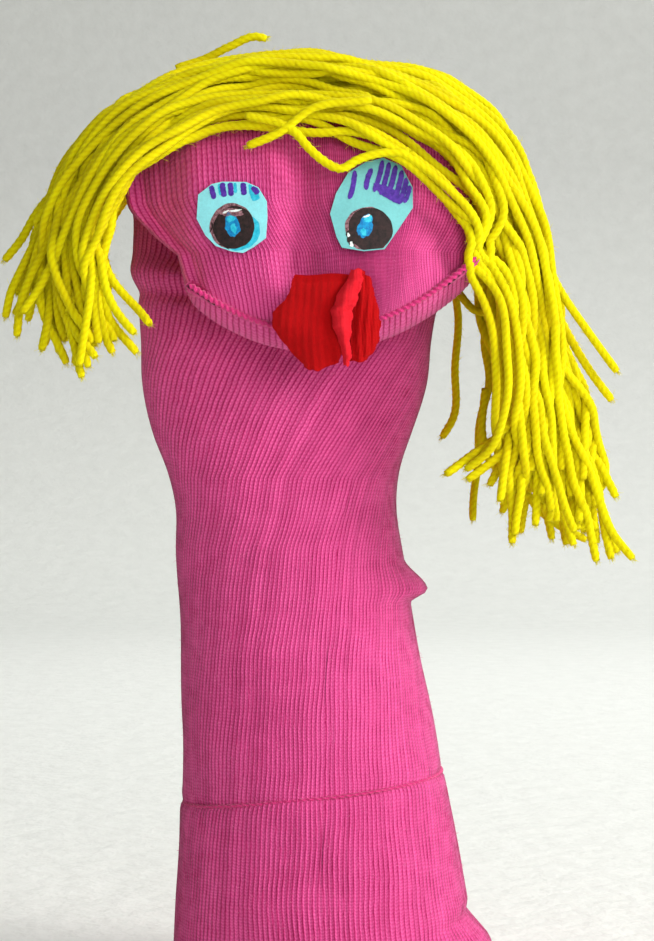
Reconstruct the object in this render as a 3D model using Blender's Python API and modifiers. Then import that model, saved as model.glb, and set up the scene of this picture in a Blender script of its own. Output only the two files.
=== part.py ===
"""Sock puppet: a knitted sock that folds over into a head, with card eyes, a crepe paper mouth and yarn hair.

The sock is one tube swept along a path: up the neck, over the crown, and down the front as the face, whose end
is the toe. The tube is hollow for a forearm and a hand, and it is split where a wrist and knuckles bend it.
Lengths are in millimetres, and MM turns them into Blender's metres. +Z is up, and the face looks along -Y.
"""

import math

import bmesh
import bpy
from mathutils import Matrix, Vector

MM = 0.001
FIT_GAP = 0.3

# The knit
KNIT_WALL = 1.5
CUFF_WALL = 2.6
OVAL_POWER = 2.3
RING_POINTS = 28

# The sock's path, measured along it from the cuff's rim
CUFF_TOP = 59.0
LEG_TOP = 122.0
BAND_BOTTOM = 137.0
BAND_TOP = 141.0
PALM_BOTTOM = 160.0
PALM_TOP = 212.0
FOLD_HEIGHT = 227.0
FOLD_RADIUS = 19.0
FOLD_LENGTH = math.pi * FOLD_RADIUS
CROWN_START = FOLD_HEIGHT + FOLD_LENGTH * 58 / 180
FACE_TOP = FOLD_HEIGHT + FOLD_LENGTH
FACE_GAP = 0.5
FACE_LENGTH = 15.0
TOE_START = FACE_TOP + FACE_LENGTH
TOE_LENGTH = 24.0
TOE_END = TOE_START + TOE_LENGTH
SEAM_DEPTH = 11.5
SEAM_DROP = 20.0
SEAM_RISE = 13.8
SEAM_TILT = 3.7
TOE_NARROWING = 0.05
SEAM_HALF_GAP = 2.2
TOE_BULGE = 5.0
SEAM_BEAD_RADIUS = 1.7

# Along the path: (place, sideways centre, half width, depth behind, depth in front)
SECTIONS = [
    (0, 0.0, 46.5, 37.0, 37.0),
    (13, -0.7, 45.0, 36.0, 36.0),
    (36, -2.2, 42.4, 34.5, 34.5),
    (59, -3.6, 39.3, 32.5, 32.5),
    (84, -6.4, 36.3, 29.5, 29.5),
    (105, -8.5, 34.5, 27.0, 27.0),
    (128, -11.0, 33.0, 25.0, 24.5),
    (140, -12.0, 32.4, 24.0, 23.0),
    (151, -12.9, 34.0, 23.5, 22.5),
    (163, -13.2, 37.8, 23.0, 22.0),
    (178, -12.1, 42.2, 22.5, 22.0),
    (190, -11.0, 44.0, 22.0, 21.5),
    (202, -10.5, 45.3, 21.0, 20.5),
    (214, -10.5, 46.5, 19.5, 18.5),
    (FOLD_HEIGHT, -10.0, 47.0, 18.0, 17.0),
    (FOLD_HEIGHT + FOLD_LENGTH / 2, -9.5, 49.5, 16.0, 17.0),
    (FACE_TOP, -8.0, 48.5, 16.0, 16.0),
    (FACE_TOP + 8, -4.5, 45.5, 16.0, 14.5),
    (TOE_START, -0.5, 41.5, 15.3, 13.0),
]

# Card, glue and crepe paper
CARD_THICKNESS = 0.4
GLUE_THICKNESS = 0.7
CREPE_THICKNESS = 0.5

# Hair
YARN_RADIUS = 1.5
HANK_COUNT = 7
HANK_RADIUS = 2.9
FRONT_HANK_TURN = 155.0
HANK_TURN_STEP = 15.5
HANK_LIFT = HANK_RADIUS + 1.8
LEFT_PARTING = ((-64.0, -54.0, 239.0), (-64.0, -2.0, 259.0))
RIGHT_PARTING = ((51.5, -54.0, 227.0), (51.5, -2.0, 249.0))
PARTING_SLOPE = Vector((0.85, 0.0, -0.53))
PARTING_LEAD = 4.0
SWING_ROOM = 1.5

MATERIALS = {
    "sock_knit": ((0.80, 0.10, 0.34), 0.95),
    "sock_thread": ((0.86, 0.16, 0.42), 0.90),
    "eye_card": ((0.45, 0.85, 0.90), 0.70),
    "crepe_paper": ((0.75, 0.01, 0.02), 0.60),
    "clear_glue": ((0.85, 0.84, 0.78), 0.30),
    "yellow_yarn": ((0.90, 0.78, 0.02), 0.90),
}


# ---------------------------------------------------------------- scene helpers


def clear_scene():
    for obj in list(bpy.data.objects):
        bpy.data.objects.remove(obj)


def new_collection(name):
    collection = bpy.data.collections.new(name)
    bpy.context.scene.collection.children.link(collection)
    return collection


def material(name):
    found = bpy.data.materials.get(name)
    if found:
        return found
    colour, roughness = MATERIALS[name]
    made = bpy.data.materials.new(name)
    made.use_nodes = True
    shader = made.node_tree.nodes["Principled BSDF"]
    shader.inputs["Base Color"].default_value = (*colour, 1.0)
    shader.inputs["Roughness"].default_value = roughness
    shader.inputs["Metallic"].default_value = 0.0
    return made


def place(obj, collection, material_name):
    for old in list(obj.users_collection):
        old.objects.unlink(obj)
    collection.objects.link(obj)
    if material_name:
        obj.data.materials.append(material(material_name))
    return obj


def object_from(mesh_builder, name, collection, material_name):
    """A mesh object from a bmesh whose points are in millimetres."""
    bmesh.ops.scale(mesh_builder, vec=(MM, MM, MM), verts=mesh_builder.verts)
    bmesh.ops.recalc_face_normals(mesh_builder, faces=mesh_builder.faces)
    mesh = bpy.data.meshes.new(name)
    mesh_builder.to_mesh(mesh)
    mesh_builder.free()
    mesh.shade_smooth()
    obj = bpy.data.objects.new(name, mesh)
    return place(obj, collection, material_name)


# ---------------------------------------------------------------- the sock's surface


def eased(low, high, slope_low, slope_high, span, t):
    """A cubic from low to high over a span, with the given slopes at its ends."""
    return (
        low * (2 * t**3 - 3 * t**2 + 1)
        + slope_low * span * (t**3 - 2 * t**2 + t)
        + high * (3 * t**2 - 2 * t**3)
        + slope_high * span * (t**3 - t**2)
    )


def smooth_value(marks, values, where):
    """The value at a place on a smooth curve through the values, which lie at rising marks."""
    last = len(marks) - 1
    i = 0
    while i < last - 1 and marks[i + 1] < where:
        i += 1

    def slope(k):
        before, after = max(k - 1, 0), min(k + 1, last)
        return (values[after] - values[before]) / (marks[after] - marks[before])

    span = marks[i + 1] - marks[i]
    t = min(max((where - marks[i]) / span, 0.0), 1.0)
    return eased(values[i], values[i + 1], slope(i), slope(i + 1), span, t)


def along_sections(where):
    """Centre, half width and depths at a place on the path: a smooth curve through SECTIONS."""
    marks = [section[0] for section in SECTIONS]
    return [smooth_value(marks, [section[k] for section in SECTIONS], where) for k in range(1, 5)]


def oval_share(value):
    return math.copysign(abs(value) ** (2 / OVAL_POWER), value)


def sock_point(where, angle, grow=0.0):
    """A point on the sock's outside. Angle 0 is the side at +X and 90 degrees is the outer side of the fold."""
    centre, half_width, behind, front = along_sections(where)
    depth = behind if math.sin(angle) > 0 else front
    u = oval_share(math.cos(angle)) * (half_width + grow)
    v = oval_share(math.sin(angle)) * (depth + grow)
    if where <= FOLD_HEIGHT:
        return Vector((centre + u, v, where))
    if where <= FACE_TOP:
        turn = (where - FOLD_HEIGHT) / FOLD_RADIUS
        reach = FOLD_RADIUS + v
        return Vector(
            (centre + u, -FOLD_RADIUS + reach * math.cos(turn), FOLD_HEIGHT + reach * math.sin(turn))
        )
    if where <= TOE_START:
        return Vector((centre + u, -2 * FOLD_RADIUS - v, FOLD_HEIGHT - (where - FACE_TOP)))
    turn = (where - TOE_START) / TOE_LENGTH * math.pi / 2
    side = u / half_width
    centre += 2.0 * math.sin(turn)
    u *= 1 - TOE_NARROWING * math.sin(turn)
    from_seam = (SEAM_DEPTH - v) / (SEAM_DEPTH + front)
    depth_now = SEAM_DEPTH + (v - SEAM_DEPTH) * math.cos(turn)
    depth_now += SEAM_HALF_GAP * oval_share(math.sin(angle)) * math.sin(turn)
    drop = (SEAM_DROP - SEAM_RISE * side**2 - SEAM_TILT * side) * math.sin(turn)
    drop += TOE_BULGE * max(from_seam, 0.0) * math.sin(2 * turn)
    return Vector((centre + u, -2 * FOLD_RADIUS - depth_now, FOLD_HEIGHT - FACE_LENGTH - drop))


def ring_angles(count=RING_POINTS):
    """Angles round a ring, shifted by half a step so that no point lies on the seam's fold line."""
    return [2 * math.pi * (i + 0.5) / count for i in range(count)]


def open_tube(places, grow=0.0):
    """A bmesh of the sock's outer surface from one place on the path to another, open at both ends."""
    builder = bmesh.new()
    rings = [[builder.verts.new(sock_point(s, a, grow)) for a in ring_angles()] for s in places]
    for low, high in zip(rings, rings[1:]):
        for i in range(RING_POINTS):
            j = (i + 1) % RING_POINTS
            builder.faces.new((low[i], low[j], high[j], high[i]))
    return builder


def steps(start, end, count):
    return [start + (end - start) * i / count for i in range(count + 1)]


def close_toe(builder):
    """Joins the last ring's outer and inner halves, point to point, along the toe's seam."""
    builder.verts.ensure_lookup_table()
    lips = builder.verts[-RING_POINTS:]
    for i in range(RING_POINTS // 2 - 1):
        builder.faces.new((lips[i], lips[i + 1], lips[RING_POINTS - 2 - i], lips[RING_POINTS - 1 - i]))


def knit_section(name, start, end, count, wall, collection, closed=False):
    """One length of the sock: its outer surface with Solidify inwards."""
    builder = open_tube(steps(start + FIT_GAP / 2, end - (0 if closed else FIT_GAP / 2), count))
    if closed:
        close_toe(builder)
        bmesh.ops.recalc_face_normals(builder, faces=builder.faces)
    obj = object_from(builder, name, collection, "sock_knit")
    orient_outwards(obj)
    solidify = obj.modifiers.new("wall", "SOLIDIFY")
    solidify.thickness = wall * MM
    solidify.offset = -1.0
    return obj


def make_cuff(parts):
    """The double welt: outer and inner walls at the same heights, so that the rim under it is flat."""
    heights = steps(0, CUFF_TOP - FIT_GAP, 5)
    builder = bmesh.new()
    outer, inner = (
        [[builder.verts.new(sock_point(height, angle, grow)) for angle in ring_angles()] for height in heights]
        for grow in (0.0, -CUFF_WALL)
    )
    loop = outer + inner[::-1] + outer[:1]
    for low, high in zip(loop, loop[1:]):
        for i in range(RING_POINTS):
            j = (i + 1) % RING_POINTS
            builder.faces.new((low[i], low[j], high[j], high[i]))
    object_from(builder, "ribbed_cuff", parts, "sock_knit")


def orient_outwards(obj):
    """An open tube's faces are turned so that their normals leave its middle."""
    mesh = obj.data
    middle = sum((v.co for v in mesh.vertices), Vector()) / len(mesh.vertices)
    face = max(mesh.polygons, key=lambda f: abs(f.center.x - middle.x))
    if face.normal.x * (face.center.x - middle.x) < 0:
        mesh.flip_normals()


# ---------------------------------------------------------------- general shapes


def loft(name, sections, collection, material_name):
    """A closed solid through sections that hold the same number of points each, with flat ends."""
    builder = bmesh.new()
    rings = [[builder.verts.new(point) for point in section] for section in sections]
    count = len(sections[0])
    for low, high in zip(rings, rings[1:]):
        for i in range(count):
            j = (i + 1) % count
            builder.faces.new((low[i], low[j], high[j], high[i]))
    builder.faces.new(rings[0])
    builder.faces.new(rings[-1])
    return object_from(builder, name, collection, material_name)


def smooth_route(points, count):
    """Count + 1 evenly placed points along a smooth curve through the given ones."""
    points = [Vector(p) for p in points]
    marks = [0.0]
    for a, b in zip(points, points[1:]):
        marks.append(marks[-1] + (b - a).length)
    return [smooth_value(marks, points, marks[-1] * i / count) for i in range(count + 1)]


def tube(name, route, radius, collection, material_name, sides=8, taper=None):
    """A round solid along a route. Taper gives the radius share at each end, with full size between."""
    curve = bpy.data.curves.new(name, "CURVE")
    curve.dimensions = "3D"
    curve.bevel_depth = radius * MM
    curve.bevel_resolution = (sides - 4) // 2
    curve.use_fill_caps = True
    spline = curve.splines.new("POLY")
    spline.points.add(len(route) - 1)
    for i, (point, place_on) in enumerate(zip(spline.points, route)):
        point.co = (*(Vector(place_on) * MM), 1.0)
        if taper:
            share = i / (len(route) - 1)
            ends = max(1 - share / 0.3, 0) * (1 - taper[0]) + max((share - 0.6) / 0.4, 0) * (1 - taper[1])
            point.radius = 1 - ends
    obj = bpy.data.objects.new(name, curve)
    return place(obj, collection, material_name)


def flat_cutout(name, outline, thickness, centre, facing, collection, material_name):
    """A flat piece cut to an outline, with its middle at centre and its front along facing."""
    curve = bpy.data.curves.new(name, "CURVE")
    curve.dimensions = "2D"
    curve.fill_mode = "BOTH"
    curve.extrude = thickness * MM / 2
    spline = curve.splines.new("POLY")
    spline.points.add(len(outline) - 1)
    for point, (x, y) in zip(spline.points, outline):
        point.co = (x * MM, y * MM, 0, 1)
    spline.use_cyclic_u = True
    obj = bpy.data.objects.new(name, curve)
    obj.location = Vector(centre) * MM
    obj.rotation_euler = facing_rotation(facing)
    return place(obj, collection, material_name)


def facing_rotation(facing):
    """Turns a shape drawn in its own XY plane so that +Z looks along facing and +Y stays as upright as it can."""
    out = Vector(facing).normalized()
    across = Vector((0, 0, 1)).cross(out).normalized()
    up = out.cross(across)
    return Matrix((across, up, out)).transposed().to_euler()


def boolean(obj, other, operation):
    modifier = obj.modifiers.new(operation.lower(), "BOOLEAN")
    modifier.operation = operation
    modifier.object = other
    return obj


def as_cutter(obj):
    obj.hide_render = True
    obj.display_type = "WIRE"
    return obj


# ---------------------------------------------------------------- the sock


def make_sock(parts):
    make_cuff(parts)
    knit_section("leg_tube", CUFF_TOP, LEG_TOP, 6, KNIT_WALL, parts)
    knit_section("lower_wrist_knit", LEG_TOP, BAND_BOTTOM, 2, KNIT_WALL, parts)
    knit_section("wrist_band", BAND_BOTTOM, BAND_TOP, 1, KNIT_WALL, parts)
    knit_section("upper_wrist_knit", BAND_TOP, PALM_BOTTOM, 3, KNIT_WALL, parts)
    knit_section("palm_tube", PALM_BOTTOM, PALM_TOP, 5, KNIT_WALL, parts)
    knit_section("knuckle_knit", PALM_TOP, CROWN_START, 6, KNIT_WALL, parts)
    knit_section("crown_knit", CROWN_START, FACE_TOP - FACE_GAP, 8, KNIT_WALL, parts)
    knit_section("face_pocket", FACE_TOP + FACE_GAP, TOE_END, 9, KNIT_WALL, parts, closed=True)


def make_cuff_hem_stitch(parts):
    """The welt's row of stitches, a low bead round the cuff's top that climbs towards +X."""
    route = []
    lift = SEAM_BEAD_RADIUS * 0.5 + FIT_GAP
    for i in range(25):
        angle = math.radians(-160 + 320 * i / 24)
        height = CUFF_TOP + 0.5 + 4.5 * math.cos(angle)
        route.append(sock_point(height, angle, lift))
    tube("cuff_hem_stitch", route, SEAM_BEAD_RADIUS * 0.45, parts, "sock_thread", sides=6)


def make_cuff_turned_edge(parts):
    """The part of the cuff's edge that is turned up on itself, on the +X side."""
    half_arc = 62
    thickness = 3.6
    sections = []
    for i in range(15):
        degrees = -half_arc + 2 * half_arc * i / 14
        angle = math.radians(degrees)
        share = math.cos(math.radians(degrees / half_arc * 90))
        top = 5 + 17 * share
        deep = 0.8 + (thickness - 0.8) * share
        profile = [(0.6, 0.0), (0.6, 0.7), (top * 0.5, 1.0), (top * 0.85, 0.8), (top, 0.3), (top, 0.0)]
        sections.append(
            [sock_point(height, angle, FIT_GAP + 0.1 + deep * out) for height, out in profile]
        )
    loft("cuff_turned_edge", sections, parts, "sock_knit")


def make_heel_pocket(parts, cutters):
    """The heel's slack pocket, which stands off the leg on the +X side, cut clear of the leg's own wall."""
    form = open_tube(steps(LEG_TOP - 35, LEG_TOP + 12, 8), FIT_GAP)
    bmesh.ops.holes_fill(form, edges=form.edges)
    leg_form = as_cutter(object_from(form, "leg_form", cutters, None))
    builder = bmesh.new()
    bmesh.ops.create_uvsphere(builder, u_segments=20, v_segments=12, radius=1.0)
    bmesh.ops.transform(
        builder,
        matrix=Matrix.Translation((15.0, 3.0, 116.5))
        @ Matrix.Rotation(math.radians(8), 4, "Y")
        @ Matrix.Diagonal((14.0, 13.0, 5.5, 1.0)),
        verts=builder.verts,
    )
    boolean(object_from(builder, "heel_pocket", parts, "sock_knit"), leg_form, "DIFFERENCE")


def make_toe_seam(parts):
    """The linked seam that closes the toe: a bead along its open lips, square to the line that they make."""
    lips = []
    for i in range(29):
        angle = math.radians(160 - 140 * i / 28)
        lips.append((sock_point(TOE_END, angle) + sock_point(TOE_END, -angle)) / 2)
    off_lips = SEAM_BEAD_RADIUS + 5 * FIT_GAP
    route = []
    for i, lip in enumerate(lips):
        run = (lips[min(i + 1, 28)] - lips[max(i - 1, 0)]).normalized()
        route.append(lip + Vector((run.z, 0, -run.x)) * off_lips - Vector((0, SEAM_BEAD_RADIUS / 2, 0)))
    tube("toe_seam", route, SEAM_BEAD_RADIUS, parts, "sock_thread")


# ---------------------------------------------------------------- eyes and mouth


LEFT_EYE_OUTLINE = [
    (-9.3, 6.2), (-5.5, 9.0), (-2.6, 9.6), (4.1, 9.4), (7.4, 7.9), (9.7, 4.1), (9.9, 0.0),
    (9.5, -5.9), (6.2, -8.3), (3.3, -9.9), (-0.1, -9.4), (-4.3, -7.9), (-7.2, -5.0), (-9.7, -0.4),
]
RIGHT_EYE_OUTLINE = [
    (-1.4, 12.0), (3.5, 13.3), (8.4, 11.2), (11.4, 5.2), (11.4, -0.5), (7.5, -6.4), (3.5, -12.2),
    (-2.2, -12.8), (-8.1, -11.8), (-9.5, -8.9), (-11.2, -2.4), (-9.5, 3.3), (-6.1, 9.1),
]
LEFT_EYE_PLACE = (-26.0, -54.7, 221.0)
LEFT_EYE_FACING = (-0.16, -1.0, 0.02)
RIGHT_EYE_PLACE = (12.0, -56.2, 224.0)
RIGHT_EYE_FACING = (0.07, -1.0, 0.16)


def make_eye(side, outline, centre, facing, parts):
    """A card cut-out and the dab of glue between it and the face."""
    flat_cutout(f"{side}_eye_card", outline, CARD_THICKNESS, centre, facing, parts, "eye_card")
    out = Vector(facing).normalized()
    behind = Vector(centre) - out * (CARD_THICKNESS / 2 + 0.2 + GLUE_THICKNESS / 2)
    dab = [(3.2 * math.cos(i * math.pi / 6), 2.6 * math.sin(i * math.pi / 6)) for i in range(12)]
    flat_cutout(f"{side}_eye_glue", dab, GLUE_THICKNESS, behind, facing, parts, "clear_glue")


def crepe_petal(name, rows, depths, parts):
    """A curled petal of crepe paper. A row is (height, left x, right x), and depths gives its curl across."""
    sections = []
    for height, left, right, forward in rows:
        front, back = [], []
        for i, depth in enumerate(depths):
            x = left + (right - left) * i / (len(depths) - 1)
            y = forward - depth
            front.append((x, y - CREPE_THICKNESS, height))
            back.append((x, y, height))
        sections.append(front + back[::-1])
    loft(name, sections, parts, "crepe_paper")


def make_mouth(parts):
    """Three petals of one gathered scrap of crepe paper, over the middle of the toe seam."""
    crepe_petal(
        "mouth_paper_left",
        [(203.2, -8.0, 2.4, -57.6), (196.0, -13.2, 2.2, -58.4), (190.0, -13.6, 2.6, -58.6),
         (184.0, -9.5, 3.2, -57.6), (179.5, -4.6, 1.0, -56.0)],
        [0.0, 1.6, 2.2, 1.6, 0.6], parts,
    )
    crepe_petal(
        "mouth_paper_fold",
        [(203.8, 5.6, 8.0, -59.4), (198.0, 3.0, 7.6, -60.8), (190.0, 3.0, 6.4, -61.2), (180.6, 5.0, 6.6, -58.2)],
        [0.0, 1.6, 0.6], parts,
    )
    crepe_petal(
        "mouth_paper_right",
        [(205.6, 8.4, 11.6, -57.0), (198.0, 8.0, 14.2, -58.2), (189.0, 7.0, 14.4, -58.4), (182.4, 7.2, 12.6, -56.6)],
        [0.0, 1.4, 0.4], parts,
    )
    dab = [(4.0 * math.cos(i * math.pi / 6), 2.2 * math.sin(i * math.pi / 6)) for i in range(12)]
    flat_cutout("mouth_glue", dab, GLUE_THICKNESS, (1.0, -55.4, 201.0), (0, -1, 0), parts, "clear_glue")


# ---------------------------------------------------------------- hair


def along(line, share):
    return Vector(line[0]).lerp(Vector(line[1]), share)


def outwards_lead(side):
    """The step that every hank takes straight through its parting, away from the crown."""
    return Vector((side * PARTING_SLOPE.x, 0, PARTING_SLOPE.z)) * PARTING_LEAD


def make_crown_hanks(parts):
    """The hanks lie side by side across the crown, from the forehead's to the rearmost, and touch the knit."""
    for i in range(HANK_COUNT):
        share = i / (HANK_COUNT - 1)
        where = FOLD_HEIGHT + FOLD_LENGTH * (FRONT_HANK_TURN - HANK_TURN_STEP * i) / 180
        left, right = along(LEFT_PARTING, share), along(RIGHT_PARTING, share)
        across = [sock_point(where, math.radians(angle), HANK_LIFT) for angle in (148, 118, 90, 62, 32)]
        knots = [left - outwards_lead(-1), *across, right - outwards_lead(1)]
        route = [left, *smooth_route(knots, 18), right]
        tube(f"crown_hank_{i + 1}", route, HANK_RADIUS, parts, "yellow_yarn", sides=6)


LEFT_HANK_ENDS = [(-58, 189), (-66, 192), (-74, 187), (-84, 189), (-89, 204), (-80, 196), (-70, 195)]
RIGHT_HANK_ENDS = [(46, 155), (53, 151), (60, 153), (68, 147), (75, 150), (66, 158), (57, 160)]


def make_side_hanks(parts):
    """The free ends of the hanks, which leave the partings, bulge outwards and fan out as they fall."""
    for i in range(HANK_COUNT):
        share = i / (HANK_COUNT - 1)
        for side, parting, outwards, end in (
            ("left", LEFT_PARTING, -1, LEFT_HANK_ENDS[i]),
            ("right", RIGHT_PARTING, 1, RIGHT_HANK_ENDS[i]),
        ):
            lead = outwards_lead(outwards)
            start = along(parting, share) + lead.normalized() * SWING_ROOM
            tip = Vector((end[0], start.y, end[1]))
            middle = start.lerp(tip, 0.5) + Vector((outwards * 6, 0, 3))
            route = [start, *smooth_route([start + lead, middle, tip], 9)]
            tube(f"{side}_hank_{i + 1}", route, HANK_RADIUS, parts, "yellow_yarn", sides=6, taper=(0.35, 0.55))


# Single strands that stand clear of the hanks: name, route
LOOSE_STRANDS = {
    "forehead_strand": [(2, -60.5, 249), (-3, -60.5, 246), (-8, -60, 243), (-12, -59, 240.5)],
    "forehead_loop_strand": [(4, -61, 246), (7, -61, 241), (11, -60.5, 238.5), (15, -60.5, 239), (18, -61, 241.5)],
    "crown_tuft_strand": [(-42, -10, 270), (-35, -10, 273), (-28, -12, 275.5), (-21, -13, 277.5)],
    "left_long_strand": [(-76, -60, 216), (-81, -60, 206), (-84, -59.5, 196), (-85, -59, 187)],
    "left_outer_strand": [(-83, 5.5, 226), (-88, 6, 220), (-91, 6.5, 213), (-92, 7, 205)],
    "right_stray_strand": [(38.5, 12, 204), (38.5, 12, 190), (39, 12, 176), (37, 12, 166), (35, 12, 161)],
    "right_long_strand": [(70, -60, 176), (73, -60, 160), (77, -59.5, 144), (83, -59, 128)],
    "right_curved_strand": [(54, 7, 156), (56, 8, 145), (62, 8.5, 138), (70, 9, 134), (75, 9, 132)],
}


def make_loose_strands(parts):
    for name, points in LOOSE_STRANDS.items():
        tube(name, smooth_route(points, 10), YARN_RADIUS, parts, "yellow_yarn")


def main():
    clear_scene()
    parts = new_collection("sock_puppet")
    cutters = new_collection("cutters")
    make_sock(parts)
    make_cuff_hem_stitch(parts)
    make_cuff_turned_edge(parts)
    make_heel_pocket(parts, cutters)
    make_toe_seam(parts)
    make_eye("left", LEFT_EYE_OUTLINE, LEFT_EYE_PLACE, LEFT_EYE_FACING, parts)
    make_eye("right", RIGHT_EYE_OUTLINE, RIGHT_EYE_PLACE, RIGHT_EYE_FACING, parts)
    make_mouth(parts)
    make_crown_hanks(parts)
    make_side_hanks(parts)
    make_loose_strands(parts)


main()
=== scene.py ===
import math

import bpy
import numpy as np
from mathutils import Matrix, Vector
from mathutils.bvhtree import BVHTree
from mathutils.kdtree import KDTree


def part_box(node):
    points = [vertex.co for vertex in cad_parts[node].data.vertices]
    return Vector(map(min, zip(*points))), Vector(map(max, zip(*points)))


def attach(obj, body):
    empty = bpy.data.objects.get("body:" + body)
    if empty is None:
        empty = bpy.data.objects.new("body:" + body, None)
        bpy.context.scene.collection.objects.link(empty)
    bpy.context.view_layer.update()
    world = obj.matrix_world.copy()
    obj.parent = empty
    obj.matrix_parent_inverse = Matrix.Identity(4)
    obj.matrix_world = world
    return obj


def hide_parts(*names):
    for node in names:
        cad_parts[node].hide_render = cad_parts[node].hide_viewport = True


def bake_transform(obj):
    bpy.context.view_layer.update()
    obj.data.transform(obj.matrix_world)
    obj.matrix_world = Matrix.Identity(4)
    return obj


# The sock puppet's looks: knitted skins over the sock's shells, card eyes with marker ink, a crepe
# paper mouth, and plied yarn hair. Lengths are in millimetres, and MM turns them into metres.

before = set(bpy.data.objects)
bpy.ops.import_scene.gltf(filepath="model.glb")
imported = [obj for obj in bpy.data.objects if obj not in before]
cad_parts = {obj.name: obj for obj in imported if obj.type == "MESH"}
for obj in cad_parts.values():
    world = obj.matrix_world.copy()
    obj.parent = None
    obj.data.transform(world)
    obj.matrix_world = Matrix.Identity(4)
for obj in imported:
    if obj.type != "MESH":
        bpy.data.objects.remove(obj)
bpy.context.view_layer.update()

MM = 0.001
YARN_PLIES = 3
random = np.random.default_rng(11)
fluff = np.random.default_rng(5)

# ---------------------------------------------------------------- the sock's surface

WALES = 176
COLUMNS_PER_WALE = 4
COLUMNS = WALES * COLUMNS_PER_WALE
COURSE = 0.95
CUFF_TOP = 59.0
FOLD_HEIGHT = 227.0
FOLD_RADIUS = 19.0
FOLD_LENGTH = math.pi * FOLD_RADIUS
FACE_TOP = FOLD_HEIGHT + FOLD_LENGTH
FACE_LENGTH = 15.0
TOE_START = FACE_TOP + FACE_LENGTH
TOE_LENGTH = 24.0
TOE_END = TOE_START + TOE_LENGTH
SEAM_DEPTH = 11.5
SEAM_DROP = 21.0
SEAM_RISE = 16.2
SEAM_TILT = 3.7
SEAM_HALF_GAP = 0.35
TOE_NARROWING = 0.05
TOE_BULGE = 10.0
TOE_SHIFT = 2.0
OVAL_POWER = 2.3
OVAL_STEPS = 1441
CUFF_LIFT = 0.5
RIDGE_X = 38.0
RIDGE_SOFTNESS = 1.3
SLOPE_DEPTH = 15
CHEEK_X = (-23, 13)
GROOVE_X = -6.5
HEEL_BOTTOM = 113.2
HEEL_TIP = 117.2
HEEL_REACH = 5.6
EDGE_TOP = 22.5
EDGE_LIFT = 4.2

# Along the path: (place, sideways centre, half width, depth behind, depth in front)
SECTIONS = np.array([
    (0, 0.0, 45.5, 37.0, 37.0),
    (13, -0.6, 43.9, 36.0, 36.0),
    (36, -2.2, 41.1, 34.5, 34.5),
    (59, -3.6, 38.4, 32.5, 32.5),
    (84, -6.4, 36.3, 29.5, 29.5),
    (105, -8.5, 34.5, 27.0, 27.0),
    (128, -11.0, 33.0, 25.0, 24.5),
    (140, -12.0, 32.4, 24.0, 23.0),
    (151, -12.9, 34.0, 23.5, 22.5),
    (163, -13.2, 37.8, 23.0, 22.0),
    (178, -12.5, 41.6, 22.5, 22.0),
    (190, -12.0, 42.8, 22.0, 21.5),
    (202, -11.3, 44.3, 21.0, 20.5),
    (214, -10.5, 46.5, 19.5, 18.5),
    (FOLD_HEIGHT, -10.0, 47.0, 18.0, 17.0),
    (FOLD_HEIGHT + FOLD_LENGTH / 2, -9.5, 49.5, 16.0, 17.0),
    (FACE_TOP, -8.0, 48.5, 16.0, 16.0),
    (FACE_TOP + 8, -4.5, 45.5, 16.0, 14.5),
    (TOE_START, -0.5, 41.5, 15.3, 13.0),
])

# How far the wales have slid round the arm at places on the path: the sock is twisted on it, more at
# its front right than at its left
TWIST_PLACES = (0, 30, 60, 100, 130, 150, 165, 190, 215, 240, TOE_END)
TWIST_SLIDES = (0, 0.5, 2, 5.5, 9.5, 14, 20.5, 31, 37, 39, 39)
TWIST_SWING = 0.55
TWIST_SHARE = 0.08


def ease(value):
    clipped = np.clip(value, 0, 1)
    return clipped * clipped * (3 - 2 * clipped)


def bump(value, middle, width):
    return np.exp(-(((value - middle) / width) ** 2))


def hermite(t, first, last, first_slope, last_slope):
    return (first * (2 * t**3 - 3 * t**2 + 1) + first_slope * (t**3 - 2 * t**2 + t)
            + last * (3 * t**2 - 2 * t**3) + last_slope * (t**3 - t**2))


def along_sections(where):
    """Centre, half width and depths at a place on the path: a smooth curve through SECTIONS."""
    marks = SECTIONS[:, 0]
    values = SECTIONS[:, 1:]
    last = len(marks) - 1
    i = int(np.clip(np.searchsorted(marks, where) - 1, 0, last - 1))

    def slope(k):
        before, after = max(k - 1, 0), min(k + 1, last)
        return (values[after] - values[before]) / (marks[after] - marks[before])

    span = marks[i + 1] - marks[i]
    t = min(max((where - marks[i]) / span, 0.0), 1.0)
    return hermite(t, values[i], values[i + 1], slope(i) * span, slope(i + 1) * span)


def power(value):
    """A sine or cosine bent to the oval's power."""
    return np.sign(value) * np.abs(value) ** (2 / OVAL_POWER)


def even_angles(where, shares):
    """The oval's angles at even distances round a ring, from the middle of its inner side."""
    _, half_width, behind, front = along_sections(where)
    dense = np.linspace(-math.pi / 2, 1.5 * math.pi, OVAL_STEPS)
    u = power(np.cos(dense)) * half_width
    v = power(np.sin(dense)) * np.where(np.sin(dense) > 0, behind, front)
    run = np.concatenate(([0], np.cumsum(np.hypot(np.diff(u), np.diff(v)))))
    slide = np.interp(where, TWIST_PLACES, TWIST_SLIDES) / run[-1]
    wave = 1 + TWIST_SWING * np.cos(2 * math.pi * (shares + 0.5 * slide - TWIST_SHARE))
    drift = 0.0009 * np.sin(where / 8.3 + 40 * shares) + 0.0007 * np.sin(where / 3.9 - 23 * shares)
    return np.interp(((shares + slide * wave + drift) % 1.0) * run[-1], run, dense)


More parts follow.
